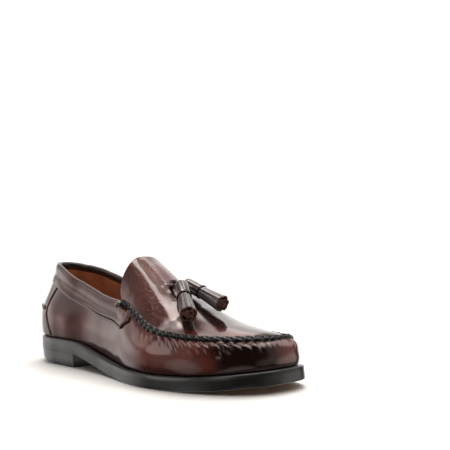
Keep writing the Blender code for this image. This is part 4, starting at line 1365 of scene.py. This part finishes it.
def make_tassel_cap(side, start, axes):
    """The rolled cap and the cord that ties the strips."""
    along, across, above = axes
    radius = CAP_DIAMETER / 2
    spokes = oval(np.zeros(3), across, above, 72)
    turns = np.linspace(0, 2 * np.pi, 72, endpoint=False)
    reach = (radius + 0.00012 * np.sin(3 * turns + 0.9))[:, None]
    skin = tube([start + along * share * TASSEL_LENGTH + spokes * reach * size
                 for share, size in CAP_RINGS])
    # The two bands of the hollow at the cap's end and its fan are cut leather
    slots = np.zeros(len(skin[1]), int)
    slots[:2 * len(turns)] = 1
    slots[-2 * len(turns):-len(turns)] = 1
    add_piece("tassel_cap_" + side, skin, (TASSEL, RAW), ("tassel_" + side,),
              slots)
    spokes = oval(np.zeros(3), across, above, 96)
    centres = start + along * 0.442 * TASSEL_LENGTH + spokes * radius * 0.985
    add_piece("tassel_ring_" + side, tube(oval(centres, spokes * 0.00062, along * 0.00085, 10), True),
              (DARK_TRIM,))


def make_tassel_strips(side, start, axes):
    """Cut strips: the outer ones side by side, the rest bundled inside at all angles."""
    along, across, above = axes
    rng = np.random.default_rng(STRIP_SEEDS[side])
    a, b = np.array(STRIP_SECTION).T[..., None]
    strips, slots = [], []
    for k in range(STRIPS):
        if k < OUTER_STRIPS:
            turn = 2 * np.pi * k / OUTER_STRIPS + rng.uniform(-0.05, 0.05)
            reach_end = FRINGE_DIAMETER / 2
            width_start, width_end, thick, short, most = 0.0042, 0.0051, 0.00085, 0.035, 0.12
        else:
            turn = INNER_TURN * k
            reach_end = FRINGE_DIAMETER * 0.4 * math.sqrt((k - 7.5) / 11)
            width_start, width_end, thick, short, most = 0.003, 0.0044, 0.0011, 0.05, 0.9
        reach_start = reach_end * CAP_DIAMETER / FRINGE_DIAMETER * 0.93
        full = 1.0 - rng.uniform(0.0, short)
        bow, twist = rng.uniform(-0.3, 0.3), rng.uniform(-most, most)
        spoke = across * math.cos(turn) + above * math.sin(turn)
        aside = -across * math.sin(turn) + above * math.cos(turn)
        rings = []
        for t in np.linspace(0, 1, 10):
            share = STRIP_START + (full - STRIP_START) * t
            reach = reach_start + (reach_end - reach_start) * t ** 1.3 - 0.0007
            centre = (start + along * share * TASSEL_LENGTH + spoke * reach
                      + aside * bow * 0.0006 * t * t)
            half = (width_start + (width_end - width_start) * t) / 2
            curl = half * half * a * a / 2 / FRINGE_DIAMETER * 2.2
            rings.append(centre + aside * a * half
                         + spoke * (b * thick - curl + twist * a * half * t))
        strips.append(tube(rings))
        slots += [0] * (len(strips[-1][1]) - len(a)) + [1] * len(a)
    add_piece("tassel_strips_" + side, joined(strips), (TASSEL, RAW),
              face_slots=slots, sharp=50)


def make_lace(side, slit, start, axes):
    """The flat lace from the apron's slit to the cap, and the slit's low welt."""
    along, across = axes[:2]
    foot, normal = apron_under(slit[0] * SOLE_LENGTH, slit[1] * BALL_WIDTH)
    first = foot - normal * 0.001
    last = start + along * 0.004
    control = first + (last - first) * 0.45 + normal * (LACE_THICKNESS + 0.0012)
    turn = np.linspace(0, 2 * np.pi, 20, endpoint=False)[:, None]
    wide = np.sign(np.cos(turn)) * np.abs(np.cos(turn)) ** 0.5 * LACE_WIDTH / 2
    high = np.sign(np.sin(turn)) * np.abs(np.sin(turn)) ** 0.6 * LACE_THICKNESS * 0.62
    rings = []
    for t in np.linspace(0, 1, 17):
        centre = first * (1 - t) ** 2 + control * 2 * t * (1 - t) + last * t * t
        heading = unit((control - first) * (1 - t) + (last - control) * t)
        rings.append(centre + across * wide + unit(np.cross(heading, across)) * high)
    add_piece("tassel_strap_" + side, tube(rings), (DARK_TRIM,),
              ("tassel_lace_" + side,))
    lips = []
    ahead = unit(np.cross(across, normal))
    for reach in oval(np.zeros(3), across * (LACE_WIDTH / 2 + 0.0016), ahead * 0.0016, 64):
        centre, lift = apron_under(*(foot + reach)[:2])
        lips.append(oval(centre, unit(reach) * 0.0011, lift * 0.001, 8))
    add_piece("slit_welt_" + side, tube(lips, True), (BURGUNDY,),
              values={"dye_and_shade": 0.6})


def make_tassels():
    for side, slit, start, lift, yaw, pitch in TASSEL_PLACES:
        axes = tassel_axes(yaw, pitch)
        under, _ = apron_under(start[0] * SOLE_LENGTH, start[1] * BALL_WIDTH)
        cap = under + np.array([0, 0, lift * CAP_DIAMETER])
        make_tassel_cap(side, cap, axes)
        make_tassel_strips(side, cap, axes)
        make_lace(side, slit, cap, axes)


# Studio

# Soft patches of light round the shoe: direction in degrees, inner and outer radius, brightness
LIGHT_PATCHES = (
    (137, 2, 27, 44, 1.12), (120, 41, 8, 15, 0.6), (136, 45, 6, 12, 1.3), (121, 57, 3, 8, 3),
    (174, 71, 8, 13, 5.6), (168, 45, 8, 17, 0.8), (176, 60, 5, 10, 1.4), (130, 74, 4, 12, 0.45),
    (207, 42, 7, 16, 0.25), (212, 24, 7, 13, 0.65), (242, 19, 12, 20, 1.6), (203, 10, 13, 24, 0.55),
    (192, -8, 12, 26, 0.66), (220, -11, 7, 15, 0.25), (260, -25, 6, 16, 0.5), (14, -8, 8, 26, 0.25),
    (325, -44, 12, 34, 0.45), (255, -8, 12, 26, 0.26), (272, 42, 6, 14, 1), (284, 18, 5, 12, 1),
    (291, 31, 3, 8, 2.4), (302, 60, 11, 20, 2.3), (345, 58, 9, 16, 2.6), (25, 55, 13, 20, 2.6),
    (0, 84, 6, 16, 2), (76, 35, 7, 19, 1.6), (58, 58, 6, 15, 3.2), (60, -12, 10, 28, 0.65),
    (48, 12, 12, 36, 0.28),
)
ROOM_BRIGHTNESS = 0.02
FLOOR_FILL = 4.3
FLOOR_WIDTH = 60.0
SUN_ANGLE = 36


def make_room():
    """The studio's light as soft patches in a dim room."""
    world = bpy.data.worlds.new("studio")
    bpy.context.scene.world = world
    world.use_nodes = True
    room = Nodes(world.node_tree)
    way = room.node("ShaderNodeTexCoord", {}, {}, "Generated")
    glow = ROOM_BRIGHTNESS
    for azimuth, elevation, inner, outer, brightness in LIGHT_PATCHES:
        near = room.node("ShaderNodeVectorMath", {"operation": "DOT_PRODUCT"},
                         {0: way, 1: direction(azimuth, elevation)}, "Value")
        patch = near.between(math.cos(math.radians(outer)), math.cos(math.radians(inner)))
        glow = patch * brightness + glow
    background = world.node_tree.nodes["Background"]
    room.put(background.inputs["Color"], (1.0, 0.972, 0.95))
    room.put(background.inputs["Strength"], glow)


def make_floor():
    """A pale floor that the polish doesn't mirror, as when the shoe stands on a raised sheet."""
    mesh = bpy.data.meshes.new("floor")
    half = FLOOR_WIDTH / 2
    mesh.from_pydata([(-half, -half, 0), (half, -half, 0), (half, half, 0), (-half, half, 0)],
                     [], [(0, 1, 2, 3)])
    mesh.materials.append(grained("floor", {"Roughness": 0.6}, 0.4, 2.0, 0.5, 0.0,
                                  (0.52, 0.5, 0.48), (0.54, 0.52, 0.5))[0].material)
    floor = put_in_scene("floor", mesh)
    floor.visible_glossy = False


def make_studio():
    make_room()
    make_floor()
    light = bpy.data.lights.new("top_light", "SUN")
    light.energy = FLOOR_FILL
    light.angle = math.radians(SUN_ANGLE)
    lamp = put_in_scene("top_light", light)
    lamp.rotation_euler = Vector((0.32, -0.32, -1.0)).to_track_quat("-Z", "Y").to_euler()
    lamp.visible_glossy = False
    bpy.context.scene.view_settings.view_transform = "Standard"


def make_camera():
    place = Vector((0.7249, -0.5015, 0.1317))
    forward = Vector((-0.7189, 0.6951, 0.0008)).normalized()
    right = Vector((0.6951, 0.7189, -0.0035))
    right = (right - forward * right.dot(forward)).normalized()
    up = right.cross(forward)
    camera_data = bpy.data.cameras.new("camera")
    camera_data.sensor_width = 36.0
    camera_data.lens = 70.32
    camera = put_in_scene("camera", camera_data)
    turned = Matrix((right, up, -forward)).transposed().to_4x4()
    turned.translation = place
    camera.matrix_world = turned
    bpy.context.scene.camera = camera


make_camera()
make_upper()
make_seam_ridge()
make_collar_band()
make_heel_patch()
make_back_ridge()
make_topline_binding()
make_outsole()
make_heel()
make_sock()
make_tassels()
make_studio()
